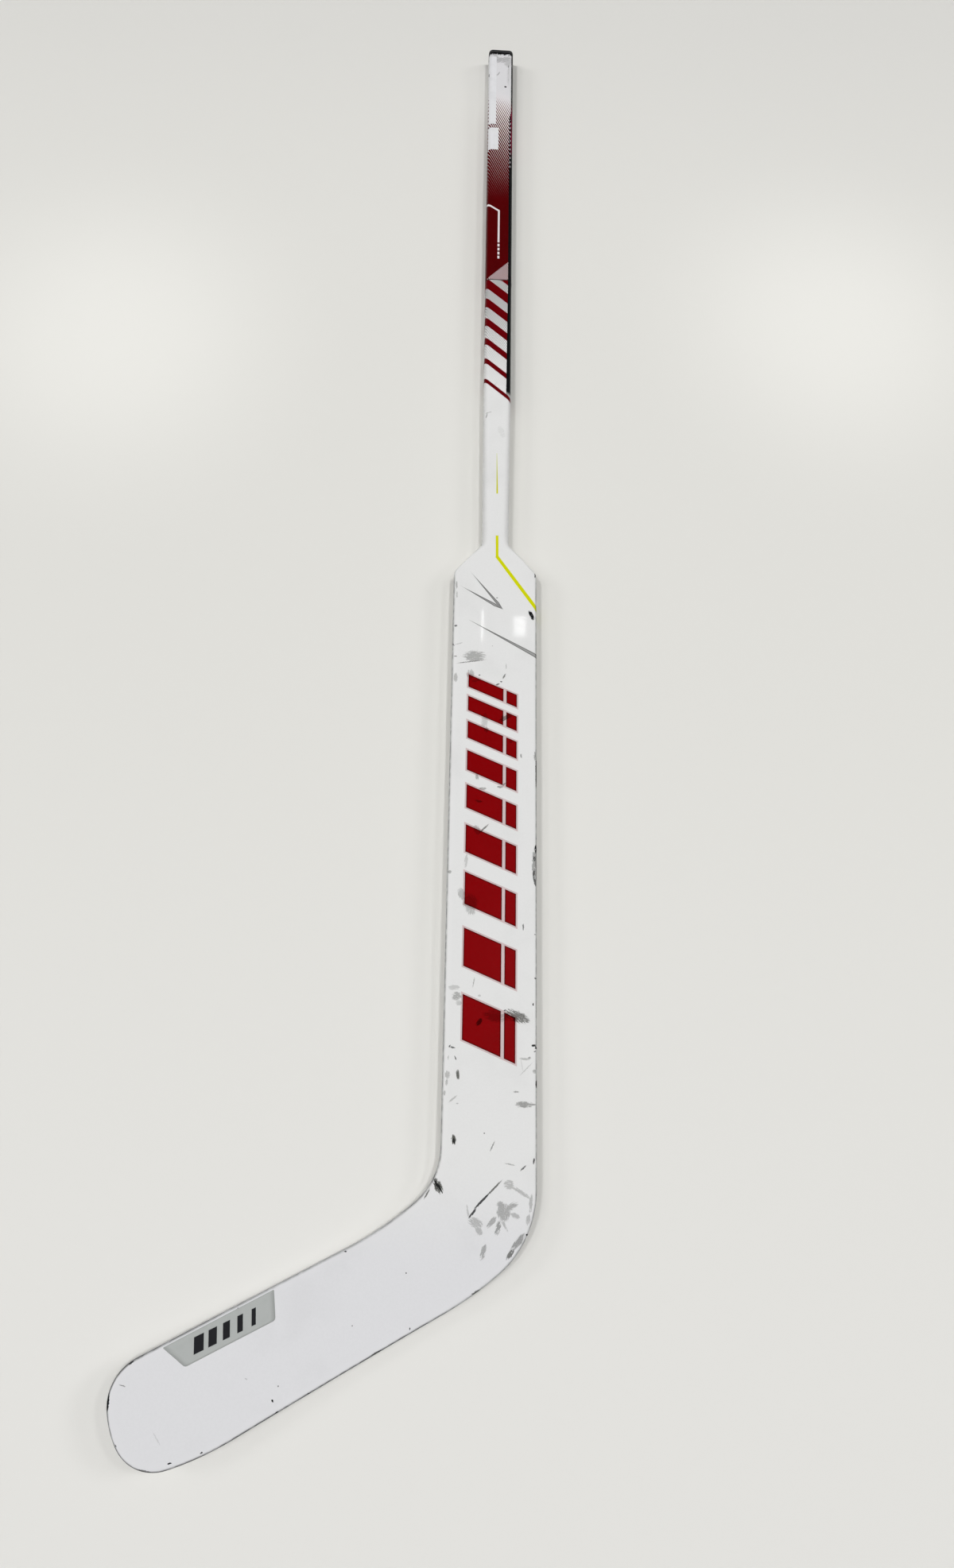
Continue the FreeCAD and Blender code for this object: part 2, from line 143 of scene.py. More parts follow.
def toe_corners():
    """The four arcs round the toe, and the place where they end. An arc climbs across the blade by its
    radius times the fall of its heading's cosine. The front arc's radius makes the climbs add up to the
    blade's width."""
    headings = np.radians(np.cumsum([0.0, ROCKER_TURN, TOE_LOW_TURN, TOE_FRONT_TURN, 0.0]))
    headings[4] = math.pi + math.radians(BLADE_TAPER_ANGLE)
    climbs, reaches = -np.diff(np.cos(headings)), np.diff(np.sin(headings))
    radii = np.array([ROCKER_RADIUS, TOE_LOW_RADIUS, 0.0, TOE_TOP_RADIUS])
    radii[2] = (BLADE_TOE_WIDTH - radii @ climbs) / climbs[2]
    tip = radii[:2] @ reaches[:2] + radii[2] * (1.0 - math.sin(headings[2]))
    along = BLADE_LENGTH - tip + np.append(0.0, np.cumsum(radii * reaches))
    across = np.append(0.0, np.cumsum(radii * climbs))
    cuts = radii * np.tan(np.diff(headings) / 2)
    places = [on_blade(a + cut * math.cos(heading), w + cut * math.sin(heading))
              for a, w, cut, heading in zip(along, across, cuts, headings)]
    return [(*place, radius) for place, radius in zip(places, radii)], on_blade(along[-1], across[-1])


# %% The whole outline
DOWN = np.array([0.0, -1.0])
GRIP_SWEEP, NECK_SWEEP = 3000.0, 1000.0
toe, top_end = toe_corners()
taper = math.radians(BLADE_TAPER_ANGLE)
top_way = -ALONG * math.cos(taper) - ACROSS * math.sin(taper)
throat = top_end + top_way * ((-HALF_WIDTH - top_end[0]) / top_way[0])
right_side = [
    (HALF_SHAFT, SPLICE_Y, 0.0), (HALF_SHAFT, GRIP_TOP_Y, GRIP_SWEEP), (HALF_NECK, NECK_Y, NECK_SWEEP),
    (HALF_NECK, NECK_FOOT_Y, NECK_CORNER), (HALF_WIDTH, SHOULDER_Y, SHOULDER_CORNER)]
left_side = [(-x, y, radius) for x, y, radius in right_side[::-1]]
heel_arcs = two_arcs(HEEL_CORNER, DOWN, ALONG, HEEL_RADIUS, math.radians(HEEL_TURN), HEEL_SOLE_RADIUS)
throat_turn = math.radians(THROAT_BLADE_TURN)
throat_arcs = two_arcs(throat, top_way, -DOWN, THROAT_BLADE_RADIUS, throat_turn, THROAT_RADIUS)
outline_corners = np.array(right_side + heel_arcs + toe + throat_arcs + left_side)
print("outline:", len(outline_corners), "corners, throat at", throat.round(1))


# %% Corners to a path
ARC_STEPS = 400


def rounded_path(corners, spacing=0.2):
    """Points and tangents along a line of corners. Each corner is cut back by its radius times the
    tangent of half its turn, an arc of that radius joins the two cuts, and the whole line is sampled at
    an even spacing."""
    places, radii = corners[:, :2], corners[:, 2]
    ways = np.diff(places, axis=0)
    ways /= np.linalg.norm(ways, axis=1)[:, None]
    runs = [places[:1]]
    for before, after, place, radius in zip(ways, ways[1:], places[1:], radii[1:]):
        turn = math.atan2(before[0] * after[1] - before[1] * after[0], before @ after)
        start = place - before * cut_back(radius, abs(turn))
        side = math.copysign(1, turn) * np.array([-before[1], before[0]])
        angle = np.linspace(0, turn, ARC_STEPS)[:, None]
        spoke = -side * radius
        spun = np.array([-spoke[1], spoke[0]])
        runs.append(start + side * radius + spoke * np.cos(angle) + spun * np.sin(angle))
    runs.append(places[-1:])
    line = np.vstack(runs)
    length = np.concatenate([[0], np.cumsum(np.linalg.norm(np.diff(line, axis=0), axis=1))])
    even = np.linspace(0, length[-1], int(length[-1] / spacing))
    points = np.stack([np.interp(even, length, line[:, axis]) for axis in (0, 1)], axis=1)
    tangents = np.gradient(points, axis=0)
    return even, points, tangents / np.linalg.norm(tangents, axis=1)[:, None]


path_length, path_points, path_tangents = rounded_path(outline_corners)
print("outline length in mm:", round(path_length[-1], 1), "from", len(path_points), "points")

# %% [markdown]
# ## Thickness along the stick
# The paddle is as thick as the shaft. At the heel it eases down to a thinner blade, and the blade's curve
# lifts the toe off the table. Both depend only on the distance from the heel's corner along the sole, so
# two small functions of that distance give the front and the back of every point of the body.

# %% Front and back heights
def smooth(value, low, high):
    """An S-shaped rise from 0 at low to 1 at high: three times the square less twice the cube."""
    share = np.clip((value - low) / (high - low), 0, 1)
    return share * share * (3 - 2 * share)


def back_height(places):
    """Height of the back: nothing up to the start of the curve, then a parabola that reaches its rise at
    the toe."""
    along = (places - HEEL_CORNER) @ ALONG
    return CURVE_RISE * (np.maximum(along - CURVE_START, 0) / (BLADE_LENGTH - CURVE_START)) ** 2


def front_height(places):
    """Height of the front: the back's height plus a thickness that eases from paddle to blade and thins
    evenly."""
    along = (places - HEEL_CORNER) @ ALONG
    thinning = np.maximum(along - TAPER_END, 0) / (BLADE_LENGTH - TAPER_END)
    blade = BLADE_DEPTH + (TOE_DEPTH - BLADE_DEPTH) * thinning
    return back_height(places) + PADDLE_DEPTH + (blade - PADDLE_DEPTH) * smooth(along, TAPER_START, TAPER_END)


toe_tip = on_blade(BLADE_LENGTH, BLADE_TOE_WIDTH / 2)[None]
print("toe: back at", back_height(toe_tip).round(2), "front at", front_height(toe_tip).round(2))

# %% [markdown]
# ## From arrays to a mesh
# Every piece below is a grid of points: rows along it, columns round it. One helper turns such a grid into
# a mesh, welds the rows that meet, and turns the faces outwards. A second array can ride along as an
# attribute, so that a finish can tell the worn edge from the flat face.

# %% Grid to mesh
WELD = 2e-6


def grid_piece(name, grid, body, closed_rows=False, closed_columns=False, attributes=None):
    """A mesh piece from an array of rows by columns of points in mm: neighbours in both directions make
    quads, coincident points are welded, and the normals of the closed surface are turned outwards."""
    rows, columns = grid.shape[:2]
    row = np.arange(rows if closed_rows else rows - 1)[:, None]
    column = np.arange(columns if closed_columns else columns - 1)[None, :]
    next_row, next_column = (row + 1) % rows, (column + 1) % columns
    quads = np.stack([row * columns + column, next_row * columns + column,
                      next_row * columns + next_column, row * columns + next_column], axis=-1).reshape(-1, 4)
    mesh = bpy.data.meshes.new(name)
    mesh.from_pydata(grid.reshape(-1, 3) / MM, [], quads)
    for label, values in (attributes or {}).items():
        layer = mesh.attributes.new(label, "FLOAT", "POINT")
        layer.data.foreach_set("value", np.ascontiguousarray(values, dtype=np.float32).ravel())
    shaped = bmesh.new()
    shaped.from_mesh(mesh)
    bmesh.ops.remove_doubles(shaped, verts=shaped.verts, dist=WELD)
    bmesh.ops.dissolve_degenerate(shaped, edges=shaped.edges, dist=WELD / 2)
    bmesh.ops.recalc_face_normals(shaped, faces=shaped.faces)
    open_edges = sum(edge.is_boundary for edge in shaped.edges)
    shaped.to_mesh(mesh)
    shaped.free()
    mesh.shade_smooth()
    piece = bpy.data.objects.new(name, mesh)
    bpy.context.scene.collection.objects.link(piece)
    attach(piece, body)
    print(name, "has", len(mesh.polygons), "faces and", open_edges, "open edges")
    return piece


# %% [markdown]
# ## Ribs across the body
# The body could be extruded and bevelled, but its edge changes from soft on the grip to tight on the
# paddle. So it is drawn as ribs: each rib joins a point on the right of the outline to its partner on the
# left, across a spine that runs down the middle. Down the paddle partners share a height, round the elbow
# they share a fraction of the arc, along the blade they share a distance from the heel, and at the toe the
# ribs fan out from one point.

# %% Where the ribs meet the outline
ELBOW_Y, ELBOW_ALONG, FAN_ALONG, REACH_PAST = -243.6, 96.0, 316.0, 1.0
BLADE_RIBS, ELBOW_RIBS, TOE_RAYS = 42, 64, 188
SPLICE_STRETCH, SHOULDER_ABOVE, SHOULDER_BELOW = 11.0, 20.0, 14.0
path_along = (path_points - HEEL_CORNER) @ ALONG
on_right = np.arange(len(path_points)) < np.argmax(path_along)


def stations_by(values, wanted, part):
    """Arc lengths at which a coordinate of the path, rising or falling steadily over a part, takes given
    values."""
    known, length = values[part], path_length[part]
    order = np.argsort(known)
    return np.interp(wanted, known[order], length[order])


stretches = [SPLICE_Y, SPLICE_Y - SPLICE_STRETCH, NECK_Y + SHOULDER_ABOVE,
             SHOULDER_Y - SHOULDER_BELOW, ELBOW_Y]
ribs_between = [8, 50, 72, 55]
down = np.concatenate([np.linspace(high, low, count, endpoint=False)
                       for high, low, count in zip(stretches, stretches[1:], ribs_between)] + [[ELBOW_Y]])
below = np.linspace(ELBOW_ALONG, FAN_ALONG, BLADE_RIBS)
beside_paddle = path_points[:, 1] > ELBOW_Y - REACH_PAST
beside_blade = (path_along > ELBOW_ALONG - REACH_PAST) & (path_points[:, 1] < ELBOW_Y)
right_down = stations_by(path_points[:, 1], down, beside_paddle & on_right)
left_down = stations_by(path_points[:, 1], down, beside_paddle & ~on_right)
right_below = stations_by(path_along, below, beside_blade & on_right)
left_below = stations_by(path_along, below, beside_blade & ~on_right)

# %% Ribs round the elbow and the toe
elbow_share = np.linspace(0, 1, ELBOW_RIBS + 2)[1:-1]
right_elbow = right_down[-1] + (right_below[0] - right_down[-1]) * elbow_share
left_elbow = left_down[-1] + (left_below[0] - left_down[-1]) * elbow_share
fan = np.linspace(right_below[-1], left_below[-1], TOE_RAYS + 2)[1:-1]
right_stations = np.concatenate([right_down, right_elbow, right_below])
left_stations = np.concatenate([left_down, left_elbow, left_below])
stations = np.concatenate([right_stations, fan, left_stations[::-1]])
print("ribs:", len(right_stations), "and", len(fan), "rays round the toe")


# %% Points, inward normals and spine
def on_path(array, where):
    """A column-by-column reading of an array along the path at given arc lengths."""
    return np.stack([np.interp(where, path_length, array[:, axis]) for axis in (0, 1)], axis=1)


edge_points = on_path(path_points, stations)
edge_tangents = on_path(path_tangents, stations)
edge_tangents /= np.linalg.norm(edge_tangents, axis=1)[:, None]
edge_inward = np.stack([edge_tangents[:, 1], -edge_tangents[:, 0]], axis=1)
rib_middles = (on_path(path_points, right_stations) + on_path(path_points, left_stations)) / 2
spine = np.concatenate([rib_middles, np.repeat(rib_middles[-1:], len(fan), axis=0), rib_middles[::-1]])
print("spine runs from", spine[0].round(1), "to", rib_middles[-1].round(1))

# %% [markdown]
# ## The moulded body
# Across each rib the surface starts on the spine, crosses the front face, rolls over the edge, drops down
# the side and comes back under the body. The roll is a quarter circle: 5 mm on the round shaft, 8 mm at the
# foot of the grip where the fingers go, and 3 mm on the paddle and blade. A measure called rim counts along
# that roll, 0 on the front, 1 to 2 on the side and 3 on the back, and the paint uses it to find the worn
# edge. A second measure says how dark that edge is painted, partly as dirt and partly as painted shade:
# hardly at the shoulder, more down the paddle, most along the sole. At the splice the surface turns in over
# the laminate's wall and goes down the bore, so the tube is really open.

# %% Rolled profile of the body
LEAST_ROLL, FIRST_RIM, BACK_RIM = 0.3, 0.02, 3.0
QUARTER_TURN, CORNER_STEPS, SIDE_STEPS = math.pi / 2, 9, 5
face_shares = np.array([1.0, 0.8, 0.55, 0.3, 0.12, 0.035])
side_shares = np.linspace(0, 1, SIDE_STEPS)[1:-1]
roll_angles = np.linspace(0, QUARTER_TURN, CORNER_STEPS)


def roll_radius(places, plain, grip):
    """Radius of the edge: plain on the shaft, easing to the grip's at the neck and to the body's at the
    shoulder."""
    height = places[:, 1]
    shaft = plain + (grip - plain) * np.clip((GRIP_TOP_Y - height) / GRIP_LENGTH, 0, 1)
    return shaft + (BODY_EDGE - shaft) * smooth(-height, -NECK_Y, -SHOULDER_Y - BEVEL_END_ABOVE_SHOULDER)


def body_rows(points, inward, middles, inset):
    """Rows of the body: a face row is a share of the way from the rolled edge to the spine; a roll row
    moves in by radius times (1 - sine) and down by radius times (1 - cosine); a side row lies between
    the two rolls."""
    front_roll = np.maximum(roll_radius(points, SHAFT_CORNER, GRIP_FRONT_CORNER) - inset, LEAST_ROLL)
    back_roll = np.maximum(roll_radius(points, SHAFT_CORNER, BACK_CORNER) - inset, LEAST_ROLL)
    border = points + inward * inset[:, None]
    rows, heights, rims = [], [], []

    def add(place, height, rim):
        rows.append(place)
        heights.append(height)
        rims.append(np.full(len(points), rim))

    for share in face_shares:
        inner = border + inward * front_roll[:, None]
        place = inner + (middles - inner) * share
        add(place, front_height(place) - inset, FIRST_RIM if share == face_shares[-1] else 0.0)
    for angle in roll_angles:
        place = border + inward * (front_roll * (1 - math.sin(angle)))[:, None]
        rim = max(angle / QUARTER_TURN, FIRST_RIM)
        add(place, front_height(place) - inset - front_roll * (1 - math.cos(angle)), rim)
    for share in side_shares:
        top = front_height(border) - inset - front_roll
        low = back_height(border) + inset + back_roll
        add(border, top + (low - top) * share, 1.0 + share)
    for angle in roll_angles[::-1]:
        place = border + inward * (back_roll * (1 - math.sin(angle)))[:, None]
        rim = BACK_RIM - angle / QUARTER_TURN
        add(place, back_height(place) + inset + back_roll * (1 - math.cos(angle)), rim)
    for share in face_shares[::-1]:
        inner = border + inward * back_roll[:, None]
        place = inner + (middles - inner) * share
        add(place, back_height(place) + inset, BACK_RIM)
    grid = np.concatenate([np.stack(rows, axis=1), np.stack(heights, axis=1)[..., None]], axis=2)
    return grid, np.stack(rims, axis=1)


# %% Lip and bore at the splice
JOINT_GAP, LIP_EDGE, BORE_DEPTH, BORE_ROWS = 0.2, 0.35, 61.0, 5
lip_y = SPLICE_Y - JOINT_GAP
bore_wall_y = np.linspace(lip_y - BORE_DEPTH, lip_y - LIP_EDGE, BORE_ROWS)
bore_y = np.concatenate([bore_wall_y[:1], bore_wall_y, [lip_y, lip_y, lip_y - LIP_EDGE]])
lip_inset = [SHAFT_WALL - LIP_EDGE / 2, LIP_EDGE, LIP_EDGE / 4]
bore_inset = np.concatenate([np.full(BORE_ROWS + 1, SHAFT_WALL), lip_inset])


def bore_rows(side):
    """The lip and the bore on one side, from the pole at the bore's floor up to the splice and over its
    lip."""
    points = np.stack([np.full(len(bore_y), side * HALF_SHAFT), bore_y], axis=1)
    inward = np.tile([-side, 0.0], (len(bore_y), 1))
    middles = np.stack([np.zeros(len(bore_y)), bore_y], axis=1)
    grid, rims = body_rows(points, inward, middles, bore_inset)
    grid[0] = (0.0, bore_y[0], SHAFT_DEPTH / 2)
    return grid, rims


# %% Dirt and painted shade along the edge
# Strength of the dark edge line: partly dirt, partly painted shade where the rolled edge turns away from the
# light and meets its own contact shadow. It is darkest along the sole and lighter along the blade's top edge.
SHOULDER_DIRT_AND_SHADE, PADDLE_DIRT_AND_SHADE, SOLE_DIRT_AND_SHADE, TOP_DIRT_AND_SHADE = 0.12, 0.62, 1.2, 0.4
SOLE_FROM, SOLE_FULL = 60.0, 140.0
edge_along = (edge_points - HEEL_CORNER) @ ALONG
down_paddle = smooth(-edge_points[:, 1], -SHOULDER_Y, SHOULDER_BELOW - SHOULDER_Y)
along_blade = smooth(edge_along, SOLE_FROM, SOLE_FULL)
toe_end = len(right_stations) + len(fan)
toe_change = len(fan) / 5
past_toe = smooth(np.arange(len(stations)), toe_end - toe_change, toe_end + toe_change)
paddle_dirt_and_shade = SHOULDER_DIRT_AND_SHADE + (PADDLE_DIRT_AND_SHADE - SHOULDER_DIRT_AND_SHADE) * down_paddle
blade_dirt_and_shade = SOLE_DIRT_AND_SHADE + (TOP_DIRT_AND_SHADE - SOLE_DIRT_AND_SHADE) * past_toe
edge_dirt_and_shade = paddle_dirt_and_shade + (blade_dirt_and_shade - paddle_dirt_and_shade) * along_blade
print("grime from", edge_dirt_and_shade.min().round(2), "to", edge_dirt_and_shade.max().round(2))

# %% Moulded body piece
SPLICE_SWELL, SWELL_FROM, SWELL_TO = 0.25, 9.0, 1.0
outer_grid, outer_rims = body_rows(edge_points, edge_inward, spine, np.zeros(len(edge_points)))
swell = SPLICE_SWELL * smooth(edge_points[:, 1], SPLICE_Y - SWELL_FROM, SPLICE_Y - SWELL_TO)
outer_grid[:, :, 0] *= 1 + swell[:, None] / HALF_SHAFT
right_bore, right_rims = bore_rows(1)
left_bore, left_rims = bore_rows(-1)
body_grid = np.concatenate([right_bore, outer_grid[1:-1], left_bore[::-1]])
body_rims = np.concatenate([right_rims, outer_rims[1:-1], left_rims[::-1]])
# The bore takes the shoulder's value, and every row's mix of dirt and painted shade rides on the mesh as an
# attribute.
bore_dirt_and_shade = np.full(len(bore_y), SHOULDER_DIRT_AND_SHADE)
row_dirt_and_shade = np.concatenate([bore_dirt_and_shade, edge_dirt_and_shade[1:-1], bore_dirt_and_shade])
body_dirt_and_shade = np.repeat(row_dirt_and_shade[:, None], body_rims.shape[1], axis=1)
body = grid_piece("moulded_body", body_grid, "stick",
                  attributes={"rim": body_rims, "darkening": body_dirt_and_shade})
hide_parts("front_skin", "back_skin", "edge_band", "shaft_lower_tube")

# %% [markdown]
# ## The upper tube
# Above the splice the shaft is a plain tube with a rounded rectangular section. It is a section carried
# along a closed path: up the outside, over the rim at the butt, and back down the bore.

# %% Section carried along the shaft
LEAST_CORNER, FLAT_SHARE = 0.2, 0.12


def carried_section(heights, insets):
    """Rings of the shaft's rounded rectangle: each corner is a quarter circle of the corner's radius
    less the inset, about a centre that stays put, and a short straight stretch next to each arc keeps
    the flats flat."""
    radius = np.maximum(SHAFT_CORNER - insets, LEAST_CORNER)[:, None]
    half = HALF_SHAFT - insets[:, None] - radius
    tall = SHAFT_DEPTH / 2 - insets[:, None] - radius
    ahead = np.minimum(half, tall) * FLAT_SHARE
    columns = []
    for corner, (side, up) in enumerate(((1, 1), (-1, 1), (-1, -1), (1, -1))):
        turn = corner * QUARTER_TURN + roll_angles
        arc = np.stack([side * half + radius * np.cos(turn), up * tall + radius * np.sin(turn)], axis=-1)
        way_in = np.array([math.sin(turn[0]), -math.cos(turn[0])])
        way_out = np.array([-math.sin(turn[-1]), math.cos(turn[-1])])
        columns += [arc[:, :1] + ahead[..., None] * way_in, arc, arc[:, -1:] + ahead[..., None] * way_out]
    ring = np.concatenate(columns, axis=1)
    height = np.broadcast_to(heights[:, None], ring.shape[:2])
    return np.stack([ring[..., 0], height, ring[..., 1] + SHAFT_DEPTH / 2], axis=-1)


# %% Upper tube
OUTSIDE_RINGS, BORE_RINGS, FOOT_EDGE, HEAD_EDGE = 36, 14, 1.0, 1.5
foot_y, head_y = SPLICE_Y + JOINT_GAP, CAP_Y - JOINT_GAP
outside = np.linspace(foot_y + FOOT_EDGE, head_y - HEAD_EDGE, OUTSIDE_RINGS)
edge_heights, edge_insets = np.array([0.0, 0.05, 0.4]), np.array([SHAFT_WALL, 0.45, 0.12])
bore = np.linspace(head_y - LIP_EDGE, foot_y + LIP_EDGE, BORE_RINGS)
upper_heights = np.concatenate([foot_y + edge_heights, outside, head_y - edge_heights[:0:-1], [head_y], bore])
upper_insets = np.concatenate([edge_insets, np.zeros(OUTSIDE_RINGS), edge_insets[:0:-1],
                               [SHAFT_WALL - LIP_EDGE / 2], np.full(BORE_RINGS, SHAFT_WALL)])
upper = grid_piece("upper_tube", carried_section(upper_heights, upper_insets), "stick",
                   closed_rows=True, closed_columns=True)
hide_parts("shaft_upper_tube")

# %% [markdown]
# ## The butt plug
# The plug is one black moulding: a cap with a rounded end as wide as the shaft, and a stem that slides into
# the bore. The same carried section makes it, with insets that step in for the stem and round off the cap.

# %% Butt plug
STEM_RINGS, CAP_STEPS, END_RINGS = 5, 8, CAP_EDGE * np.array([1.4, 3.0, 4.0])
cap_turn = np.linspace(0, QUARTER_TURN, CAP_STEPS)
stem_inset, stem_foot = SHAFT_WALL + PLUG_CLEARANCE, CAP_Y - PLUG_STEM_LENGTH
stem_heights = [stem_foot, stem_foot, *np.linspace(stem_foot + PLUG_LEAD, CAP_Y, STEM_RINGS)]
stem_insets = [stem_inset + PLUG_LEAD] * 2 + [stem_inset] * STEM_RINGS
cap_round = BUTT_Y - CAP_EDGE * (1 - np.sin(cap_turn))
cap_heights = [CAP_Y, CAP_Y + LIP_EDGE, *cap_round] + [BUTT_Y] * len(END_RINGS)
cap_insets = [LIP_EDGE, 0.0, *(CAP_EDGE * (1 - np.cos(cap_turn))), *END_RINGS]
plug_heights = np.array(stem_heights + cap_heights)
plug_grid = carried_section(plug_heights, np.array(stem_insets + cap_insets))
plug_grid[0] = (0.0, plug_heights[0], SHAFT_DEPTH / 2)
plug_grid[-1] = (0.0, plug_heights[-1], SHAFT_DEPTH / 2)
plug = grid_piece("butt_cap", plug_grid, "end_plug", closed_columns=True)
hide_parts("butt_end_plug")

# %% [markdown]
# ## The toe film
# A grey film with slanted ends is stuck along the blade's top edge. It follows the blade's curve, so it is
# made of rings that grow from its middle out to a border with rounded corners. They are lifted off the
# front by the film's thickness, and the same rings close it underneath.

# %% Toe film
FILM_THICKNESS, FILM_BITE, FILM_CORNER, FILM_POINT = 0.14, 0.05, 3.5, 0.6
FILM_LONG_SIDE, FILM_SHORT_SIDE, FILM_HEIGHT, FILM_SLANT = 99.0, 80.0, 22.3, 9.0
FILM_FROM_TOE, FILM_FROM_EDGE, FILM_SPACING, FILM_RINGS = 62.0, 3.2, 0.5, 9


def film_grid(border, shares):
    """A film over the blade. Its front runs from the middle out to the border in rings, each a share of
    the way, at the front's height plus the thickness. It turns over the border and runs back underneath
    to the middle."""
    middle = border.mean(axis=0)
    rings = middle + (border - middle) * np.concatenate([shares, shares[::-1]])[:, None, None]
    lifts = np.repeat([FILM_THICKNESS, -FILM_BITE], len(shares))[:, None]
    heights = front_height(rings.reshape(-1, 2)).reshape(rings.shape[:2]) + lifts
    return np.concatenate([rings, heights[..., None]], axis=2)


film_far = BLADE_LENGTH - FILM_FROM_TOE
film_near = film_far - FILM_LONG_SIDE
far_top = BLADE_TOE_WIDTH - FILM_FROM_EDGE
near_top = far_top - FILM_LONG_SIDE * math.tan(taper)
film_corners = [
    on_blade(film_near + FILM_SLANT, near_top - FILM_HEIGHT), on_blade(film_near, near_top),
    on_blade(film_far, far_top), on_blade(film_near + FILM_SLANT + FILM_SHORT_SIDE, far_top - FILM_HEIGHT)]
film_start = (film_corners[0] + film_corners[3]) / 2
film_radii = (FILM_CORNER, FILM_POINT, FILM_POINT, FILM_CORNER)
film_turns = [(*corner, radius) for corner, radius in zip(film_corners, film_radii)]
film_line = [(*film_start, 0.0), *film_turns, (*film_start, 0.0)]
film_border = rounded_path(np.array(film_line), FILM_SPACING)[1][:-1]
film_shares = np.linspace(0, 1, FILM_RINGS)
toe_film = grid_piece("toe_film", film_grid(film_border, film_shares), "stick",
                      closed_columns=True)
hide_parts("toe_label")

# %% [markdown]
# ## Shader arithmetic
# A finish is a tree of nodes. Wiring them one by one hides the idea, so a small class wraps a socket and
# lets plain arithmetic add the nodes. One method makes any other node from its type, its settings and its
# sockets.

# %% Field
class Field:
    """A socket of a finish; arithmetic on it adds Math nodes."""

    def __init__(self, finish, socket):
        self.finish, self.socket = finish, socket

    def math(self, operation, *others):
        return self.finish.node("ShaderNodeMath", {"operation": operation}, [self, *others])

    def __add__(self, other):
        return self.math("ADD", other)

    def __mul__(self, other):
        return self.math("MULTIPLY", other)

    def __sub__(self, other):
        return self.math("SUBTRACT", other)

    def __rsub__(self, other):
        return self.finish.node("ShaderNodeMath", {"operation": "SUBTRACT"}, [other, self])

    def __truediv__(self, other):
        return self.math("DIVIDE", other)

    def __abs__(self):
        return self.math("ABSOLUTE")

    __radd__, __rmul__ = __add__, __mul__

    def least(self, other):
        return self.math("MINIMUM", other)

    def most(self, other):
        return self.math("MAXIMUM", other)

    def rise(self, low, high, top=1.0):
        """A smooth step from 0 at low to the top at high."""
        return self.finish.node("ShaderNodeMapRange", {"interpolation_type": "SMOOTHSTEP"},
                                {"Value": self, "From Min": low, "From Max": high, "To Max": top})


# %% Finish
class Finish:
    """A material and its node tree."""

    def __init__(self, name):
        self.material = bpy.data.materials.new(name)
        self.material.use_nodes = True
        self.tree = self.material.node_tree
        self.tree.nodes.clear()

    def node(self, kind, settings=None, sockets=None, output=0):
        """A node of a type, with its settings set first and then its sockets given values or links."""
        made = self.tree.nodes.new(kind)
        for name, value in (settings or {}).items():
            setattr(made, name, value)
        pairs = sockets.items() if isinstance(sockets, dict) else enumerate(sockets or [])
        for key, value in pairs:
            if isinstance(value, Field):
                self.tree.links.new(value.socket, made.inputs[key])
            else:
                made.inputs[key].default_value = value
        return Field(self, made.outputs[output]) if made.outputs else None

    def vector(self, operation, *values):
        return self.node("ShaderNodeVectorMath", {"operation": operation}, list(values))

    def places(self):
        """Where a point lies on the stick, in millimetres."""
        return self.vector("MULTIPLY", self.node("ShaderNodeTexCoord", None, None, 3), (MM, MM, MM))

    def split(self, vector):
        parts = self.node("ShaderNodeSeparateXYZ", None, [vector]).socket.node.outputs
        return [Field(self, part) for part in parts]

    def noise(self, at, scale, detail=2.0, output=0):
        """Noise with a number of cells to the millimetre, which may differ along X, Y and Z."""
        if isinstance(scale, tuple):
            at, scale = self.vector("MULTIPLY", at, scale), 1.0
        return self.node("ShaderNodeTexNoise", None, {"Vector": at, "Scale": scale, "Detail": detail}, output)

    def blend(self, mask, under, over):
        """A colour that goes from under to over as the mask goes from 0 to 1."""
        return self.node("ShaderNodeMix", {"data_type": "RGBA"}, {0: mask, 6: under, 7: over}, 2)

    def bump(self, height, strength, distance=0.0002):
        sockets = {"Strength": strength, "Distance": distance, "Height": height}
        return self.node("ShaderNodeBump", None, sockets)

    def surface(self, sockets):
        shader = self.node("ShaderNodeBsdfPrincipled", None, sockets)
        self.node("ShaderNodeOutputMaterial", None, {"Surface": shader})
        print(self.material.name, "has", len(self.tree.nodes), "nodes")
        return self.material


# %% Colours
def srgb(red, green, blue):
    """A colour as the eye sees it, from 0 to 255, made linear for the shader."""
    share = np.array([red, green, blue]) / 255.0
    linear = np.where(share <= 0.04045, share / 12.92, ((share + 0.055) / 1.055) ** 2.4)
    return (*map(float, linear), 1.0)


# %% [markdown]
# ## Printed shapes
# The print under the lacquer is made of straight shapes with crisp edges. An image would blur when we come
# close, so each shape is a measure in millimetres instead: positive inside, negative outside. Measures are
# joined with the larger of two, cut with the smaller, and turned into a mask with a short smooth step at
# zero.

# %% Measures of strokes and slashes
INK_BLUR = 0.25


def inked(measure, blur=INK_BLUR):
    """The mask of a measure: a smooth step from 0 to 1 about zero, as wide as the blur of the print's
    edge."""
    return measure.rise(-blur, blur)


def counted(x, y, start, way):
    """How far a place lies from a start, counted in a direction: the scalar product of the two."""
    right, up = float(way[0]), float(way[1])
    shift = -float(start[0]) * right - float(start[1]) * up
    return x.math("MULTIPLY_ADD", right, y.math("MULTIPLY_ADD", up, shift))


def beside_line(x, y, start, end):
    """The length of a line, how far along it a place lies, and how far to either side of it."""
    length = math.dist(start, end)
    right, up = (end[0] - start[0]) / length, (end[1] - start[1]) / length
    return length, counted(x, y, start, (right, up)), abs(counted(x, y, start, (-up, right)))


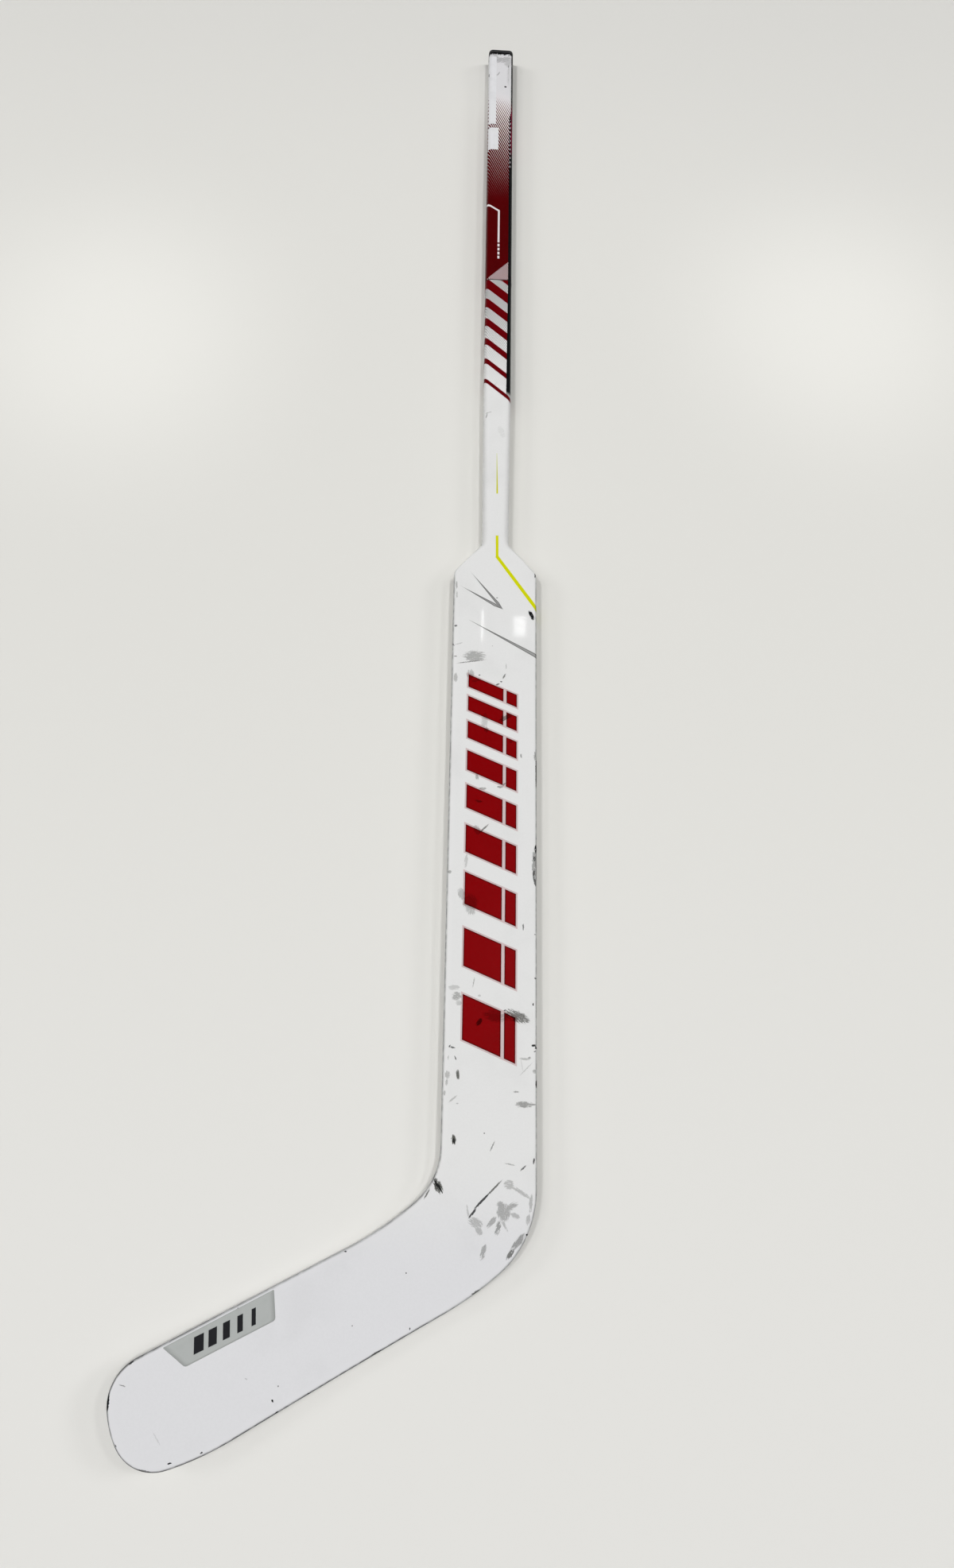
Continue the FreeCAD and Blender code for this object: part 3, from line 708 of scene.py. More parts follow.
def stroke(x, y, start, end, half_start, half_end):
    """A straight stroke whose half width goes from one value to another: the least of the half width
    less the distance to the line, the distance past the start, and the distance short of the end."""
    length, along, aside = beside_line(x, y, start, end)
    half = along.math("MULTIPLY_ADD", (half_end - half_start) / length, half_start)
    return (half - aside).least(along).least(length - along)


def slash(x, y, start, end, half, peak):
    """A slash with two sharp ends: its half width climbs to a peak at a share of its length and falls to
    nothing."""
    length, along, aside = beside_line(x, y, start, end)
    climb = (along * (half / (length * peak))).least((length - along) * (half / (length * (1 - peak))))
    return climb - aside


def off_middle(place, start, step, middle):
    """Steps of one length follow each other from a start. The measure is how far a place lies from the
    middle of its own step: the fraction of the step count, times the step, less the middle, without its
    sign."""
    return abs(((place - start) / step).math("FRACT") * step - middle)


# %% [markdown]
# ## Wear
# A stick that has been played with is marked all over: chips where the dark laminate shows, rubber smears
# from pucks and posts, hairline scratches, and a dark line along every edge that is partly dirt and partly
# painted shade. A noise texture alone would spread them evenly, which no real stick shows, so the large marks
# are placed one by one as ovals. Each row gives a centre, a half length, a half width, a turn in degrees and
# a strength. Noise then frays their outlines and streaks them.

# %% Ovals of wear
MARK_DEPTH = 9.0
STREAK_WAYS, STREAK_SHAPE = 6, (3.6, 0.9, 3.6)
STREAK_STEP = 180.0 / STREAK_WAYS


def wear(paint, at, marks, low, high, size, ragged=None):
    """The strongest of many ovals. Each mark moves and turns the place so that the oval becomes a unit
    ball. One less the distance from the ball's centre, times streaks that run along the mark, gives a
    smooth step from nothing to its strength. The ball reaches a little way into the body, so a front
    mark stays off the back."""
    total = None
    for x, y, long, wide, turn, strength in marks:
        height = float(front_height(np.array([[x, y]]))[0])
        ball = paint.node("ShaderNodeMapping", {"vector_type": "TEXTURE"}, {
            "Vector": at, "Location": (x, y, height), "Rotation": (0, 0, math.radians(turn)),
            "Scale": (long * size, wide * size, MARK_DEPTH)})
        inside = paint.node("ShaderNodeTexGradient", {"gradient_type": "SPHERICAL"}, [ball], 1)
        if ragged:
            inside = inside * ragged[round(turn / STREAK_STEP) % STREAK_WAYS]
        spot = inside.rise(low, high, strength)
        total = spot if total is None else total.most(spot)
    return total


def frayed(paint, at, amount, scale):
    """The place, pushed about by noise, so that what is drawn on it gets a ragged outline."""
    push = paint.vector("SUBTRACT", paint.noise(at, scale, 3.0, 1), (0.5, 0.5, 0.5))
    return paint.vector("MULTIPLY_ADD", push, (amount, amount, amount), at)


def brushed(paint, at, amount):
    """Noises about one, each stretched along a direction of its own, an equal step of the half turn from
    the next."""
    noises = []
    for way in range(STREAK_WAYS):
        place = paint.node("ShaderNodeMapping", {"vector_type": "TEXTURE"}, {
            "Vector": at, "Rotation": (0, 0, math.radians(STREAK_STEP * way)), "Scale": STREAK_SHAPE})
        noises.append(paint.noise(place, 1.0, 3.0).math("MULTIPLY_ADD", amount, 1.0 - amount / 2))
    return noises


# %% Specks and the worn rim
SPECK_CELLS, SPECK_EDGE, SPECK_CORE = 0.035, 0.028, 0.016
CHOSEN_FROM, CHOSEN_TO, SPECK_STRENGTH = 0.6, 0.62, 0.7


def specks(paint, at):
    """Small round dots: a dot in the middle of each Voronoi cell whose random colour is high enough."""
    cells = paint.node("ShaderNodeTexVoronoi", None, {"Vector": at, "Scale": SPECK_CELLS})
    chosen = paint.split(Field(paint, cells.socket.node.outputs["Color"]))[0]
    return cells.rise(SPECK_EDGE, SPECK_CORE) * chosen.rise(CHOSEN_FROM, CHOSEN_TO, SPECK_STRENGTH)


def worn_rim(paint, at):
    """Three masks along the edge: a dark line over the front roll, partly dirt and partly painted shade,
    or one of two seams on the side; nicks in that line; and where the gloss is rubbed off. All follow the rim
    measure, and a second measure says how strong they are."""
    rim = paint.node("ShaderNodeAttribute", {"attribute_name": "rim"}, None, 2)
    darkening = paint.node("ShaderNodeAttribute", {"attribute_name": "darkening"}, None, 2)
    flecks = paint.noise(at, 0.16, 4.0)
    # The line over the front roll is partly dirt and partly painted shade, darkest where the edge is
    # strongest.
    line = rim.rise(0.15, 0.7) * (1 - rim.rise(1.06, 1.5)) * (0.6 + flecks.rise(0.35, 0.6, 0.4)) * darkening
    nicks = rim.rise(0.2, 0.7) * (1 - rim.rise(1.5, 2.2)) * flecks.rise(0.69, 0.72, 0.85) * darkening
    seams = (abs(abs(rim - BACK_RIM / 2) - 0.3)).rise(0.05, 0.02, 0.35)
    rubbed = rim.rise(0.0, FIRST_RIM) * (darkening * 1.7).least(1.0)
    return line.least(0.85).most(seams), nicks, rubbed


# %% Worn lacquer
WHITE = srgb(226, 226, 225)
BARE_LAMINATE = srgb(24, 24, 26)
RUBBER = srgb(98, 98, 93)
# Tone of the edge line, which stands for dirt and for painted shade on the rolled edge.
EDGE_DIRT_AND_SHADE = srgb(62, 63, 62)


def worn_lacquer(name, print_under, chips, scratches, scuffs):
    """Lacquer over a print. Rubber smears and scratches darken what lies under them, a dark line of dirt and
    painted shade follows the rim, and chips bare the dark laminate. Worn places lose their gloss, and a fine
    ripple breaks up the rest of it."""
    paint = Finish(name)
    at = paint.places()
    printed = print_under(paint, at)
    crumbly = frayed(paint, at, 1.4, 0.8)
    grain = paint.noise(at, 1.3, 2.0)
    clouds = paint.noise(at, 0.022, 4.0)
    smears = wear(paint, crumbly, scuffs, 0.14, 0.5, 1.5, brushed(paint, at, 3.6)) * (0.55 + grain)
    lines = wear(paint, crumbly, scratches, 0.05, 0.55, 1.4) * grain.rise(0.2, 0.4)
    worn = smears.most(lines)
    rim_dirt_and_shade, nicks, rubbed = worn_rim(paint, at)
    dark = wear(paint, crumbly, chips, 0.16, 0.4, 1.4, brushed(paint, at, 3.0))
    dark = dark.most(nicks).most(specks(paint, at))
    colour = paint.node("ShaderNodeMix", {"data_type": "RGBA", "blend_type": "MULTIPLY"},
                        {0: worn.most(clouds.rise(0.5, 0.8, 0.05)), 6: printed, 7: RUBBER}, 2)
    # Dirt and painted shade darken the rolled edge here.
    colour = paint.blend(rim_dirt_and_shade, colour, EDGE_DIRT_AND_SHADE)
    colour = paint.blend(dark, colour, BARE_LAMINATE)
    rough = (0.24 + 0.1 * clouds + 0.3 * worn).most(dark * 0.6)
    ripple = paint.noise(at, 0.5, 2.0)
    height = ripple * 0.25 + grain * 0.1 - dark * 1.5 - worn * 0.3
    gloss = (0.36 - dark.most(worn).most(rubbed) * 0.34) * (0.15 + ripple.rise(0.4, 0.6, 0.85))
    return paint.surface({
        "Base Color": colour, "Roughness": rough, "Coat Weight": gloss, "Coat Roughness": 0.035,
        "Specular IOR Level": 0.01, "Normal": paint.bump(height, 0.12)})


# %% [markdown]
# ## Paddle paint
# The paddle is white with a bright yellow stripe that bends at the shoulder, three grey slashes, and a
# column of slanted red bars. The bars grow towards the heel: their spacing is a geometric series, so a
# logarithm of the distance from the top of the column counts them, and the fraction left over says where we
# are inside one.

# %% Red bars
BARS_TOP, BARS_DEPTH, BARS_LEAN, BARS_NARROW = 204.0, 364.0, 0.42, 0.92
BARS_FIRST, BARS_RATIO, BARS_SHARE = 154.7, 1.15, 0.6
COLUMN_MIDDLE, COLUMN_HALF, SLIT_MIDDLE, SLIT_HALF = -1.5, 24.5, 11.0, 1.5


def red_bars(x, y):
    """Measure of the bars. The count is the logarithm, to the base of the ratio, of 1 + depth / first. A
    bar fills a share of each step, the column ends on both sides, and a slit runs down through it."""
    depth = BARS_TOP - (y + x * BARS_LEAN)
    below_top = depth.most(0.0)
    part = (below_top / BARS_FIRST + 1.0).math("LOGARITHM", BARS_RATIO).math("FRACT")
    step = (below_top + BARS_FIRST) * (math.log(BARS_RATIO) * BARS_NARROW)
    bar = part.least(BARS_SHARE - part).most(part - 1.0) * step
    column = COLUMN_HALF - abs(x - COLUMN_MIDDLE)
    slit = abs(x - SLIT_MIDDLE) - SLIT_HALF
    return bar.least(column).least(slit).least(depth).least(BARS_DEPTH - depth)


# %% Halo and rim of a bar
BAR_BLUR = 0.2


def bars_over(paint, bars, ground, fill, halo, rim):
    """Bars printed on a ground, with a halo outside their edge and a rim inside it. Halo and rim are each
    a tone and the two measures between which it fades in."""
    halo_tone, halo_from, halo_to = halo
    rim_tone, rim_from, rim_to = rim
    around = paint.blend(bars.rise(halo_from, halo_to), ground, halo_tone)
    inside = paint.blend(bars.rise(rim_from, rim_to), fill, rim_tone)
    return paint.blend(inked(bars, BAR_BLUR), around, inside)


# %% Paddle print
BAR_RED, BAR_RED_WARM = srgb(124, 0, 3), srgb(134, 0, 5)
BAR_HALO, BAR_RIM = (srgb(205, 186, 186), -1.7, -1.3), (srgb(86, 0, 2), 1.5, 0.5)
SLASH_EDGE, SLASH_HEART = 0.2, 1.6
SLASH_GREY, SLASH_PALE, YELLOW = srgb(112, 112, 111), srgb(160, 160, 158), srgb(206, 209, 8)
HIGH_SLASHES = (((-24.6, 328.3), (8.2, 288.2), 1.5, 0.84), ((-34.0, 312.3), (8.2, 288.2), 1.6, 0.8))
LONG_SLASH = ((-26.0, 274.7), (46.0, 235.5), 0.05, 2.1)
NECK_STRIPE = ((1.3, 373.4), (1.6, 347.4), 1.4, 1.4)
SHOULDER_STRIPE = ((1.0, 349.3), (47.0, 284.3), 1.75, 1.95)


def paddle_print(paint, at):
    """White, with the bars in a pale halo and a dark rim, the slashes over them, and the yellow stripe
    on top."""
    x, y, _ = paint.split(at)
    red = paint.blend(paint.noise(at, 0.05, 2.0), BAR_RED, BAR_RED_WARM)
    colour = bars_over(paint, red_bars(x, y), WHITE, red, BAR_HALO, BAR_RIM)
    slashes = stroke(x, y, *LONG_SLASH)
    for high_slash in HIGH_SLASHES:
        slashes = slashes.most(slash(x, y, *high_slash))
    grey = paint.blend(slashes.rise(SLASH_EDGE, SLASH_HEART), SLASH_GREY, SLASH_PALE)
    colour = paint.blend(inked(slashes), colour, grey)
    stripe = stroke(x, y, *NECK_STRIPE).most(stroke(x, y, *SHOULDER_STRIPE))
    return paint.blend(inked(stripe), colour, YELLOW)


# %% Paddle wear
paddle_chips = [
    (41.5, 329, 3, 0.7, 90, 1), (37.5, 283, 5.5, 2, 110, 1), (-40, 268, 1.5, 1.2, 0, 0.8),
    (-42, 247, 2, 0.7, 120, 0.7), (-39.5, 234, 1.5, 0.6, 0, 0.7), (7, 208, 1, 0.8, 0, 0.8),
    (42.5, 114, 15, 0.7, 90, 1), (42, 36, 4, 0.9, 90, 1), (40.5, 26, 2.5, 1.2, 100, 0.8),
    (40, 12, 3, 1, 80, 0.8), (41, 4, 4.5, 1, 100, 0.8), (30, -40, 3, 0.7, 90, 0.8),
    (41, -47, 1, 0.6, 0, 0.7), (41.5, -88, 1, 0.7, 0, 0.8), (39.5, -112, 1.5, 0.6, 90, 1),
    (13, -118, 1, 0.7, 0, 0.9), (-37, -151, 1.5, 0.7, 60, 0.8), (-34, -152, 2, 0.8, 165, 0.8),
    (-31.5, -161, 2, 0.6, 110, 0.8), (40, -149, 2, 1, 0, 1), (42, -151, 1, 1, 0, 1),
    (41, -154, 1, 0.6, 0, 0.8), (42.5, -183, 3.5, 0.8, 90, 1), (-31.5, -233, 2, 1.3, 100, 0.8)]
paddle_scratches = [
    (-23, 229, 14, 0.5, 10, 0.8), (12, 225, 3, 0.5, 90, 0.4), (10, 214, 3, 0.8, 65, 0.8),
    (3.5, 205, 2, 0.9, 30, 0.9), (12, 168, 7, 0.6, 30, 0.8), (-9, 54, 7, 0.8, 45, 0.8),
    (-22, 32, 2.5, 0.6, 105, 0.4), (-16, -93, 4.5, 0.5, 80, 0.5), (-38, -161, 2, 0.5, 85, 0.4),
    (-33, -197, 4.5, 0.8, 40, 0.4), (33, -170, 8, 0.5, 45, 0.3), (29, -166, 6, 0.5, 100, 0.2),
    (24, -190, 2.5, 0.6, 0, 0.6), (3, -237, 4.5, 0.6, 65, 0.7)]
paddle_scuffs = [
    (2, 301, 0.8, 0.7, 0, 0.6), (-40, 314, 4.5, 0.7, 90, 0.5), (-39.5, 303, 3.5, 0.6, 90, 0.4),
    (-36.5, 248, 3.5, 0.7, 20, 0.3), (-20.5, 235, 10, 5.5, 5, 0.5), (-23, 233, 5, 3.5, 15, 0.5),
    (-24, 215, 4.5, 3.5, 90, 0.4), (-15, 214, 1, 1, 0, 0.6), (-15.5, 209, 2, 1, 0, 0.5),
    (-20, 208, 3, 1.5, 0, 0.3), (-39, 211, 4.5, 2, 90, 0.4), (-9, 165, 7.5, 3, 90, 0.3),
    (-7.5, 156, 2.5, 2, 90, 0.5), (11.5, 170, 6, 2.5, 30, 0.7), (17, 144, 1.5, 1, 150, 0.4),
    (27.5, 130, 2, 0.8, 100, 0.6), (41, 130, 4, 1, 90, 0.6), (7, 97, 3, 1, 0, 0.6),
    (11, 100, 2, 0.8, 35, 0.6), (-16, 107, 3, 1.5, 100, 0.5), (-10, 95, 3.5, 1.2, 0, 0.5),
    (-14, 82, 3, 1.2, 170, 0.6), (-15, 53, 4.5, 3, 120, 0.4), (-25, 22, 6, 1.5, 85, 0.3),
    (41, 20, 15, 2.5, 90, 0.6), (-40.5, 11, 1.5, 1.5, 0, 0.5), (-29, -10, 5, 3, 100, 0.4),
    (-20.5, -18, 7.5, 6.5, 110, 0.4), (-19.5, -24, 5.5, 4.5, 90, 0.4), (-34, -98, 4.5, 2, 0, 0.3),
    (-31.5, -106, 4, 3.5, 0, 0.5), (-29.5, -112, 2.5, 2, 0, 0.3), (-10.5, -105, 1.3, 1, 0, 0.3),
    (24, -123, 11, 4.5, 160, 0.8), (28, -125, 6.5, 3.5, 160, 0.6), (-10.5, -129, 3.5, 2, 50, 0.8),
    (5, -123, 10, 5, 175, 0.4), (-29, -176, 4, 1.5, 95, 0.9), (-38.5, -176, 3.5, 2, 90, 0.4),
    (-39, -183, 3, 1, 90, 0.4), (-29, -201, 1, 0.7, 0, 0.4), (-40.5, -192, 2, 1, 90, 0.4),
    (31.5, -161, 4.5, 1, 175, 0.4), (36, -160, 1.5, 0.8, 0, 0.6), (40.5, -172, 1.5, 1.5, 0, 0.5),
    (31.5, -201, 7, 2.5, 180, 0.6), (37, -201, 4.5, 1, 180, 0.6), (-31.5, -232, 4, 2, 100, 1)]
paddle_paint = worn_lacquer("paddle_paint", paddle_print, paddle_chips, paddle_scratches, paddle_scuffs)

# %% [markdown]
# ## Blade paint
# Heel and blade are plain white. The heel is where the stick hits the ice and the posts, so it carries the
# most rubber, with chips along the sole and round the toe.

# %% Blade print
PADDLE_FOOT_Y, BLADE_COOL_Y, BLADE_WHITE = -240.0, -345.0, srgb(220, 220, 222)


def blade_print(paint, at):
    """White that cools a little on the way down from the paddle's foot."""
    y = paint.split(at)[1]
    return paint.blend(y.rise(PADDLE_FOOT_Y, BLADE_COOL_Y), WHITE, BLADE_WHITE)


# %% Blade wear
blade_chips = [
    (30.5, -255, 3.5, 0.7, 40, 0.8), (40, -249, 2.5, 0.7, 80, 0.9), (-6, -283, 8, 1, 45, 0.9),
    (-14, -293, 5.5, 1, 50, 0.9), (34, -310, 1, 0.8, 0, 1), (-46, -269, 4, 0.8, 120, 0.9),
    (-42.5, -273, 4.5, 0.8, 120, 0.9), (-70, -342, 0.6, 0.5, 0, 0.9), (-65.5, -385.5, 1.2, 0.6, 105, 1),
    (-123, -325.5, 1, 0.6, 0, 0.9), (-211, -370.5, 1, 0.6, 0, 0.9), (-148, -435.5, 1.5, 0.6, 25, 1),
    (-177.5, -440.5, 1.3, 0.7, 135, 1), (-173.5, -449, 1.5, 0.6, 25, 1), (-232, -477.5, 1.2, 0.6, 25, 1),
    (-256.5, -484.5, 1.5, 0.6, 10, 1), (-310, -441, 6.5, 1, 90, 1), (-295, -411.5, 2, 0.7, 40, 0.9),
    (-305, -419.5, 2, 0.7, 50, 0.8), (-300, -471.5, 1, 0.5, 125, 0.8)]
blade_scratches = [
    (18.5, -252, 4.5, 0.5, 170, 0.5), (4.5, -272.5, 9.5, 0.8, 45, 0.9), (-54, -277.5, 4.5, 0.7, 60, 0.9),
    (-300, -428, 2.5, 0.5, 165, 0.7), (-268.5, -467, 5.5, 0.5, 125, 0.2)]
blade_scuffs = [
    (26.5, -274, 11, 1.5, 150, 0.4), (18, -269, 4, 3.5, 0, 0.4), (13.5, -292, 6.5, 5.5, 90, 0.5),
    (8.5, -305, 5.5, 2, 75, 0.6), (3, -300, 5.5, 2, 50, 0.5), (20.5, -287, 6, 2.5, 30, 0.5),
    (23.5, -294.5, 4, 2, 160, 0.4), (10.5, -285.5, 3.5, 2.5, 0, 0.5), (14, -302, 6, 1, 120, 0.4),
    (-11, -300.5, 6, 3.5, 160, 0.4), (-8, -307, 4, 2.5, 125, 0.4), (-18, -291, 4.5, 0.8, 100, 0.3),
    (-4, -324.5, 6, 2, 75, 0.5), (26, -316, 8, 2.5, 50, 0.6), (19.5, -325.5, 5, 1.7, 55, 0.8),
    (37.5, -284, 7, 1.5, 85, 0.4), (35, -297.5, 4, 1.7, 80, 0.4), (-44.5, -271, 6.5, 3, 115, 1),
    (-48.5, -264.5, 4, 0.6, 75, 0.5), (-93, -404.5, 4, 1, 25, 0.8), (-276.5, -489.5, 5, 0.7, 170, 0.6),
    (-10, -356.5, 4, 1, 30, 0.7), (-200.5, -424, 1, 0.5, 155, 0.3)]
blade_paint = worn_lacquer("blade_paint", blade_print, blade_chips, blade_scratches, blade_scuffs)

# %% [markdown]
# ## Shaft paint
# The shaft is white at both ends and deep red between, and one side of it is black. Fine diagonal lines
# widen towards the butt until they close into plain white, a pinstripe bends down the middle, and below the
# splice slanted red bars cross a faint mesh. Lines that widen are a saw wave of the place compared with a
# share that follows Y.

# %% Print above the splice
DEEP_RED, DEEP_RED_WARM, LINE_PALE = srgb(72, 0, 1), srgb(84, 0, 4), srgb(226, 219, 221)
BUTT_WHITE, WEDGE_PALE, PIN_PALE = srgb(215, 214, 216), srgb(214, 196, 198), srgb(226, 216, 217)
LINES_FROM, LINES_REACH, LINES_TILT = 815.0, 172.0, 0.3
CLOSE_FROM, CLOSE_TO, PLAIN_FROM = 950.0, 990.0, 985.0
FADE_FROM, FADE_TO = 856.0, 812.0
WEDGE_TOP, WEDGE_SLOPE = 715.3, 1.01
PIN_BEND = ((-16.0, 809.0), (-0.2, 798.5), 1.1, 1.1)
PIN_DOWN = ((-0.7, 799.5), (-0.7, 757.0), 1.05, 1.05)
PIN_END = ((-0.7, 757.5), (-0.7, 730.6), 1.1, 1.1)
DASH_STEP, DASH_MIDDLE, DASH_HALF = 5.65, 1.9, 1.85


def ruled(x, y, rise_per_mm, period, share):
    """Mask of ruled lines: the distance to the middle of the nearest line, as a share of the period, is
    compared with the share of it that the line fills."""
    saw = ((x + y * rise_per_mm) / period).math("FRACT")
    return inked(share - abs(saw * 2.0 - 1.0), 0.13)


def upper_print(paint, at, x, y):
    """Deep red, ruled with pale lines that widen with the square of the height until they close, a ruled
    wedge over the splice, and a pinstripe that bends in from the left and ends in dashes."""
    deep_red = paint.blend(paint.noise(at, 0.08, 2.0), DEEP_RED, DEEP_RED_WARM)
    high = y + x * LINES_TILT
    growth = ((high - LINES_FROM) / LINES_REACH).most(0.0)
    share = growth * growth + high.rise(CLOSE_FROM, CLOSE_TO, 0.4)
    pale = paint.blend(high.rise(CLOSE_FROM, PLAIN_FROM), LINE_PALE, BUTT_WHITE)
    pale = paint.blend(y.rise(FADE_FROM, FADE_TO), pale, deep_red)
    colour = paint.blend(ruled(x, y, 0.47, 2.53, share), deep_red, pale)
    wedge = inked(x * WEDGE_SLOPE + (WEDGE_TOP - y), 0.5) * ruled(x, y, 0.56, 2.4, 0.5)
    colour = paint.blend(wedge, colour, WEDGE_PALE)
    dashes = DASH_HALF - off_middle(y, PIN_END[1][1], DASH_STEP, DASH_MIDDLE)
    pin = stroke(x, y, *PIN_BEND).most(stroke(x, y, *PIN_DOWN))
    pin = pin.most(stroke(x, y, *PIN_END).least(dashes))
    return paint.blend(inked(pin), colour, PIN_PALE)


# %% Print below the splice
MESH_GREY, SLANT_RED, SHAFT_YELLOW = srgb(70, 68, 70), srgb(98, 0, 6), srgb(200, 203, 14)
SLANT_HALO, SLANT_RIM = (srgb(214, 184, 188), -0.9, -0.5), (srgb(70, 0, 3), 1.2, 0.3)
MESH_FOOT, MESH_GROWS, MESH_SHOWN, MESH_FULL = 546.0, 548.0, 566.0, 700.0
MESH_TILT, MESH_PERIOD, MESH_SHARE, MESH_STRENGTH = 0.6, 2.3, 0.42, 0.75
SLANT_FOOT, SLANT_TOP, SLANT_STEP, SLANT_TILT = 541.0, 716.0, 26.0, 0.85
SLANT_HALF, SLANT_GROWTH = 2.1, 0.034
GRIP_STRIPE = ((0.1, 473.0), (0.9, 423.7), 0.15, 0.85)


def lower_print(paint, x, y):
    """White with a mesh that fades out downwards, slanted red bars that thin downwards, and the yellow
    stripe."""
    share = y.rise(MESH_GROWS, MESH_FULL) * MESH_SHARE
    mesh = ruled(x, y, MESH_TILT, MESH_PERIOD, share).most(ruled(x, y, -MESH_TILT, MESH_PERIOD, share))
    colour = paint.blend(mesh * y.rise(MESH_FOOT, MESH_SHOWN) * MESH_STRENGTH, WHITE, MESH_GREY)
    slope = y + x * SLANT_TILT
    half = (slope - SLANT_FOOT) * SLANT_GROWTH + SLANT_HALF
    bars = half - off_middle(slope, SLANT_FOOT, SLANT_STEP, SLANT_STEP / 2)
    bars = bars.least(slope - SLANT_FOOT).least(SLANT_TOP - slope)
    colour = bars_over(paint, bars, colour, SLANT_RED, SLANT_HALO, SLANT_RIM)
    stripe = stroke(x, y, *GRIP_STRIPE).most(stroke(x, y, *NECK_STRIPE))
    return paint.blend(inked(stripe, 0.2), colour, SHAFT_YELLOW)


# %% Black side of the shaft
SIDE_BLACK, SIDE_DASH = srgb(13, 13, 15), srgb(176, 168, 174)
CRIMSON_DARK, CRIMSON_BRIGHT = srgb(60, 2, 22), srgb(126, 14, 50)
CRIMSON_FOOT, CRIMSON_FULL, CRIMSON_FADE, CRIMSON_TOP = 884.0, 904.0, 954.0, 972.0
CRIMSON_X, CRIMSON_INNER_X, CRIMSON_RAGGED = 12.0, 12.6, 12.0
ROW_FOOT, ROW_TOP, ROW_STEP, ROW_MIDDLE, ROW_X = 862.0, 936.0, 6.5, 3.2, 11.8
ROW_HALF_WIDE, ROW_HALF_LONG = 0.6, 1.2


def side_print(paint, x, y, mottle):
    """Black, with a crimson stretch whose ends and tone the mottle breaks up, and a row of pale dashes
    beside it."""
    ragged_y = y + mottle * CRIMSON_RAGGED
    stretch = ragged_y.rise(CRIMSON_FOOT, CRIMSON_FULL) * ragged_y.rise(CRIMSON_TOP, CRIMSON_FADE)
    crimson = x.rise(CRIMSON_X, CRIMSON_INNER_X) * stretch
    reds = paint.blend(mottle.rise(0.35, 0.65), CRIMSON_DARK, CRIMSON_BRIGHT)
    side = paint.blend(crimson, SIDE_BLACK, reds)
    dashes = ROW_HALF_LONG - off_middle(y, ROW_FOOT, ROW_STEP, ROW_MIDDLE)
    dashes = (ROW_HALF_WIDE - abs(x - ROW_X)).least(dashes).least(ROW_TOP - y).least(y - ROW_FOOT)
    return paint.blend(inked(dashes, 0.3), side, SIDE_DASH)


# %% Shaft print
BORDER_X, BORDER_TAPER, BORDER_STEP, BORDER_RAGGED = 10.6, 0.007, 2.0, 0.6
BORDER_FOOT, BORDER_FULL, FOOT_RAGGED = 546.0, 555.0, 5.0
TAPER_FROM, STEP_FROM, STEP_TO = 700.0, 936.0, 950.0
PRINTS_MEET_ABOVE, PRINTS_MEET_BELOW = SPLICE_Y + 0.45, SPLICE_Y - 0.15
FRAY_FOOT, FRAY_FULL, FRAY_RAGGED = CAP_Y - 1.65, CAP_Y + 1.85, 9.0
SPLICE_LINE_HALF, SPLICE_DARK, BUTT_BLACK = 0.55, srgb(22, 14, 16), srgb(14, 14, 16)


def shaft_print(paint, at):
    """One print above the splice and one below, the black side with a ragged border, black that frays
    out from under the cap, and the dark line of the splice."""
    x, y, _ = paint.split(at)
    below = y.rise(PRINTS_MEET_ABOVE, PRINTS_MEET_BELOW)
    colour = paint.blend(below, upper_print(paint, at, x, y), lower_print(paint, x, y))
    mottle = paint.noise(at, 0.45, 3.0)
    border = BORDER_X - (TAPER_FROM - y).most(0.0) * BORDER_TAPER + y.rise(STEP_FROM, STEP_TO, BORDER_STEP)
    above_foot = (y + mottle * FOOT_RAGGED).rise(BORDER_FOOT, BORDER_FULL)
    band = (x + mottle * BORDER_RAGGED - border).rise(0.1, 0.5) * above_foot
    colour = paint.blend(band, colour, side_print(paint, x, y, mottle))
    frayed_end = (y + paint.noise(at, 0.35, 4.0) * FRAY_RAGGED).rise(FRAY_FOOT, FRAY_FULL)
    colour = paint.blend(frayed_end, colour, BUTT_BLACK)
    splice = inked(SPLICE_LINE_HALF - abs(y - SPLICE_Y), 0.15)
    return paint.blend(splice * 0.9, colour, SPLICE_DARK)


# %% Shaft wear
shaft_chips = [
    (-13.5, 1008, 4.5, 1.5, 80, 1), (-10.5, 1007, 2.5, 0.6, 20, 0.9), (5.5, 987, 1.5, 1.2, 0, 1),
    (9, 1020, 2.5, 0.5, 90, 0.5), (-14, 913, 4, 0.7, 90, 0.6), (-11.5, 520, 3, 0.5, 80, 0.6)]
shaft_scratches = [
    (-3, 1007, 3.5, 0.7, 60, 0.5), (-6, 1004, 2.5, 0.6, 40, 0.4), (9.5, 1010, 21, 0.5, 90, 0.4),
    (8, 1003, 14, 0.4, 90, 0.2), (-9.5, 524, 3.5, 0.5, 20, 0.5), (-2.5, 560, 5, 0.5, 60, 0.2)]
shaft_scuffs = [
    (-8, 1031, 7, 5, 0, 0.4), (3, 1030, 9, 4, 20, 0.4), (8, 1026, 4, 7, 0, 0.3), (5, 500, 3, 7, 20, 0.1)]
shaft_paint = worn_lacquer("shaft_paint", shaft_print, shaft_chips, shaft_scratches, shaft_scuffs)

